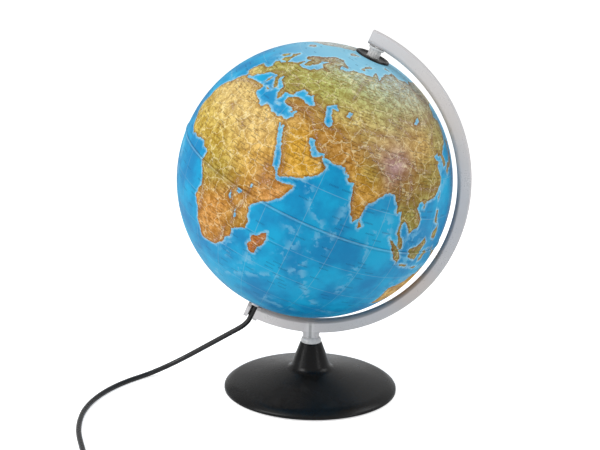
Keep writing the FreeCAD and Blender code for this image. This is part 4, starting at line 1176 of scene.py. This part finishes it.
@dataclass
class StandArm:
    """The translucent arm, with painted shade on its inner and outer edges and lighter flats."""

    centre_x: float = -0.0056
    centre_z: float = 0.2443
    inner: float = 0.1612
    outer: float = 0.1760
    light: Colour = seen_colour(0.87, 0.86, 0.865)
    patches: Colour = seen_colour(0.83, 0.82, 0.825)
    inner_edge_shade: Colour = seen_colour(0.56, 0.55, 0.56)
    outer_edge_shade: Colour = seen_colour(0.66, 0.66, 0.67)
    painted_stem_glow: Colour = seen_colour(0.97, 0.97, 0.97)
    screw_line: Colour = seen_colour(0.45, 0.45, 0.46)
    rubbed: Colour = seen_colour(0.9, 0.9, 0.9)

    def material(self) -> bpy.types.Material:
        """Build the arm's grey satin plastic.

        Returns:
            The material, with painted shade along its edges, set by the distance from the arc's centre.
        """
        material, wires, shader = new_material("translucent_grey_plastic")
        split = wires.add("SeparateXYZ")
        wires.feed(split.inputs[0], wires.add("TexCoord").outputs["Object"])
        x, _, z = split.outputs
        across = wires.calc("SUBTRACT", x, self.centre_x)
        up = wires.calc("SUBTRACT", z, self.centre_z)
        radius = wires.calc("SQRT", wires.calc("ADD", wires.times(across, across), wires.times(up, up)))
        # Painted shade: a dark band on the inner bevel, strongest at the bottom under the globe, and a thin
        # dark line along the outer edge.
        inner = wires.step(radius, self.inner + 0.0032, self.inner + 0.0052, 0.75, 0.0)
        outer = wires.step(radius, self.outer - 0.0009, self.outer - 0.0002, 0.0, 0.35)
        band = wires.times(inner, wires.step(up, -0.02, 0.03, 1.0, 0.15))
        grain = wires.effect(GRAIN, {"Scale": 700.0, "Patch": 26.0})
        wear = wires.effect(WEAR, {})
        shade = wires.mix(wires.times(grain.outputs["Shade"], 0.22), self.light, self.patches)
        # Lay the painted shade of both edges over the plastic's tone.
        shade = wires.mix(band, shade, self.inner_edge_shade)
        shade = wires.mix(outer, shade, self.outer_edge_shade)
        # The tie screw shows through the stem as a dark line in a pale core; the pale core is a painted glow of
        # light passing through the stem.
        aside = wires.calc("ABSOLUTE", x)
        in_stem = wires.step(z, 0.074, 0.084, 1.0, 0.0)
        core = wires.step(aside, 0.0030, 0.0062, 0.35, 0.0)
        screw = wires.step(aside, 0.0009, 0.0022, 0.55, 0.0)
        shade = wires.mix(wires.times(core, in_stem), shade, self.painted_stem_glow)
        shade = wires.mix(wires.times(screw, in_stem), shade, self.screw_line)
        shade = wires.mix(wires.times(wear.outputs["Mask"], 0.1), shade, self.rubbed)
        wires.feed(shader.inputs["Base Color"], shade)
        wires.feed(shader.inputs["Roughness"], wires.step(grain.outputs["Rough"], 0.1, 0.4, 0.26, 0.38))
        wires.settle(shader, {"Transmission Weight": 0.10, "IOR": 1.49})
        wires.emboss(shader, grain.outputs["Height"], 0.015, 0.0004)
        return material

    def build(self) -> None:
        """Dress the arm."""
        dress("meridian_arm", self.material())


# ------------------------------------------------------------------ mains lead

@dataclass
class MainsLead:
    """The mains lead, one smooth line from the pivot tube to the plug."""

    radius: float = 0.0029
    length: float = 1.8
    start_down_axis: float = 0.157
    corners_down_axis: tuple[float, float] = (0.172, 0.188)
    to_switch: tuple[Point, ...] = (
        (-0.0950, 0.0000, 0.0565), (-0.1770, 0.0005, 0.00295), (-0.2120, -0.0580, 0.00295),
        (-0.2220, -0.1200, 0.00295), (-0.2080, -0.1800, 0.00295), (-0.1800, -0.2320, 0.00295),
        (-0.1580, -0.2680, 0.00295), (-0.1240, -0.2860, 0.0045), (-0.0900, -0.2860, 0.0075),
    )
    after_switch: tuple[Point, ...] = ((-0.0340, -0.2860, 0.0075), (-0.0060, -0.2860, 0.0046))
    tail: tuple[Point, ...] = (
        (0.0702, -0.2648, 0.0134), (0.0970, -0.2740, 0.0066), (0.1200, -0.2760, 0.00685),
        (0.1240, -0.2760, 0.00685),
    )
    coil_centre: Point = (0.0460, -0.2900, 0.0)
    coil_radii: tuple[float, float] = (0.0320, 0.0260)
    coil_base: float = 0.00385
    layer: float = 0.0059
    coil_start: float = 124.0
    coil_end: float = 70.0
    turn_points: int = 16
    climb: float = 0.3
    carried: tuple[str, ...] = ("switch_body_lower", "switch_body_upper", "switch_rocker", "switch_screws",
                                "coil_tie", "plug_body", "plug_pins")

    def axis_point(self, down: float) -> Point:
        """Return the point on the polar axis this far below the globe's centre."""
        axis = Vector((math.sin(AXIS_TILT), 0.0, math.cos(AXIS_TILT)))
        return tuple(GLOBE_CENTRE - axis * down)

    def coil(self) -> list[Point]:
        """Work out the put-away turns, two side by side in each of three layers.

        Returns:
            Control points that wind clockwise from where the lead arrives to where it leaves.
        """
        outer, inner = self.coil_radii
        seats = [(outer, 0), (inner, 0), (inner, 1), (outer, 1), (inner, 2), (outer, 2)]
        # The smooth line runs inside its control points, so these stand a little further out.
        spread = 2.0 / (1.0 + math.cos(2 * math.pi / self.turn_points) * 0.5 + 0.5)
        sweep = FULL_TURN * len(seats) + self.coil_start - self.coil_end
        steps = round(sweep / FULL_TURN * self.turn_points)
        x, y, _ = self.coil_centre
        points = []
        for step in range(steps + 1):
            turned = step / self.turn_points
            seat = min(int(turned), len(seats) - 1)
            (size, level), (next_size, next_level) = seats[seat], seats[min(seat + 1, len(seats) - 1)]
            share = min(max((turned - seat - (1 - self.climb)) / self.climb, 0.0), 1.0)
            share = share * share * (3 - 2 * share)
            size = (size + (next_size - size) * share) * spread
            height = self.coil_base + self.layer * (level + (next_level - level) * share)
            angle = math.radians(self.coil_start - sweep * step / steps)
            points.append((x + size * math.cos(angle), y + size * math.sin(angle), height))
        return points

    def build(self, material: bpy.types.Material) -> bpy.types.Object:
        """Args:
            material: The sheath's material.

        Returns:
            The lead's curve object.
        """
        start = self.axis_point(self.start_down_axis)
        corners = [self.axis_point(down) for down in self.corners_down_axis]
        route = [start, *corners, *self.to_switch, *self.after_switch, *self.coil(), *self.tail]
        curve = bpy.data.curves.new("lead_line", "CURVE")
        curve.dimensions = "3D"
        spline = curve.splines.new("NURBS")
        spline.points.add(len(route) - 1)
        for knot, place in zip(spline.points, route):
            knot.co = (*place, 1.0)
        spline.order_u = 3
        spline.use_endpoint_u = True
        spline.resolution_u = 8
        curve.bevel_depth = self.radius
        curve.bevel_resolution = 5
        curve.use_fill_caps = True
        curve.materials.append(material)
        lead = new_object("mains_lead_line", curve)
        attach(lead, "stand")
        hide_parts("mains_lead", "lead_link", "lead_coil", "lead_tail")
        return lead


# ------------------------------------------------------------------ studio

@dataclass(frozen=True)
class SoftLight:
    """One soft square light: its direction and distance from the globe, side in metres and watts."""

    name: str
    towards: Point
    away: float
    side: float
    power: float

    def build(self) -> None:
        """Add the light, facing the globe."""
        data = bpy.data.lights.new(self.name, "AREA")
        data.size = self.side
        data.energy = self.power
        light = new_object(self.name, data)
        direction = Vector(self.towards).normalized()
        light.location = GLOBE_CENTRE + direction * self.away
        light.rotation_euler = direction.to_track_quat("Z", "Y").to_euler()


@dataclass
class Studio:
    """Camera, floor and soft lights."""

    azimuth: float = 12.392
    elevation: float = 12.468
    distance: float = 1.390453
    yaw: float = 0.634
    pitch: float = 14.498
    roll: float = 1.105
    lens: float = 76.367
    floor_half: float = 12.0
    floor_glow: float = 0.62
    room_light: float = 0.55
    lights: tuple[SoftLight, ...] = (
        SoftLight("key_left", (-0.62, -0.63, 0.55), 1.5, 0.8, 10.0),
        SoftLight("fill_right", (0.85, 0.20, 0.55), 1.4, 0.8, 5.0),
        SoftLight("strip_left", (-0.80, -0.62, -0.05), 1.3, 0.35, 1.5),
        SoftLight("strip_right", (0.93, -0.42, -0.05), 1.3, 0.35, 1.5),
        SoftLight("top_soft", (-0.15, -0.1, 1.0), 1.6, 1.2, 7.0),
    )

    def camera(self) -> None:
        """Set up the camera, in front of the globe and a little above it."""
        around = math.radians(self.azimuth)
        above = math.radians(self.elevation)
        offset = Vector((math.sin(around) * math.cos(above), -math.cos(around) * math.cos(above),
                         math.sin(above)))
        heading = math.radians(self.azimuth + self.yaw)
        dip = math.radians(self.pitch)
        ahead = Vector((-math.sin(heading) * math.cos(dip), math.cos(heading) * math.cos(dip), -math.sin(dip)))
        level = ahead.cross(Vector((0, 0, 1))).normalized()
        rise = level.cross(ahead)
        lean = math.radians(self.roll)
        across = math.cos(lean) * level + math.sin(lean) * rise
        upward = -math.sin(lean) * level + math.cos(lean) * rise
        data = bpy.data.cameras.new("view")
        data.sensor_fit = "HORIZONTAL"
        data.sensor_width = 36.0
        data.lens = self.lens
        data.clip_start = 0.05
        view = new_object("view", data)
        basis = Matrix((across, upward, -ahead)).transposed().to_4x4()
        view.matrix_world = Matrix.Translation(GLOBE_CENTRE + offset * self.distance) @ basis
        bpy.context.scene.camera = view

    def build(self) -> None:
        """Build the floor, the pale surroundings and the lights."""
        self.camera()
        half = self.floor_half
        mesh = bpy.data.meshes.new("floor")
        corners = [(-half, -half, 0), (half, -half, 0), (half, half, 0), (-half, half, 0)]
        mesh.from_pydata(corners, [], [(0, 1, 2, 3)])
        material, wires, shader = new_material("floor_paper")
        place = wires.add("TexCoord").outputs["Object"]
        tone = wires.step(wires.noise(place, 3.0), 0.3, 0.7, 0.0, 0.2)
        wires.feed(shader.inputs["Base Color"], wires.mix(tone, (0.92, 0.92, 0.92, 1), (0.90, 0.90, 0.90, 1)))
        wires.settle(shader, {"Roughness": 0.9, "Specular IOR Level": 0.1})
        shader.inputs["Emission Color"].default_value = (1, 1, 1, 1)
        seen = wires.add("LightPath").outputs["Is Camera Ray"]
        wires.feed(shader.inputs["Emission Strength"], wires.times(seen, self.floor_glow))
        mesh.materials.append(material)
        floor = new_object("floor", mesh)
        world = bpy.data.worlds.new("pale_room")
        world.use_nodes = True
        background = world.node_tree.nodes["Background"]
        background.inputs["Color"].default_value = (1, 1, 1, 1)
        background.inputs["Strength"].default_value = self.room_light
        bpy.context.scene.world = world
        bpy.context.scene.view_settings.view_transform = "Standard"
        for light in self.lights:
            light.build()


def main() -> None:
    """Build the whole model in order and report each piece."""
    logging.basicConfig(level=logging.INFO, format="%(name)s: %(message)s")
    Studio().build()
    sheath = SHEATH.build()
    lead = MainsLead().build(sheath)
    log.info("lead %s with %d control points", lead.name, len(lead.data.splines[0].points))
    globe = PrintedGlobe(WorldMap())
    map_material = MapFinish().build()
    for side in Side:
        shell = globe.build(side, map_material)
        log.info("%s with %d faces", shell.name, len(shell.data.polygons))
    StandArm().build()
    for finish, nodes in DRESSED.items():
        material = finish.build()
        for node in nodes:
            dress(node, material)
        log.info("%s on %d nodes", finish.name, len(nodes))
    for node in ("cord_boot", "lead_inner", "lamp_wires"):
        dress(node, sheath)


if __name__ == "__main__":
    main()
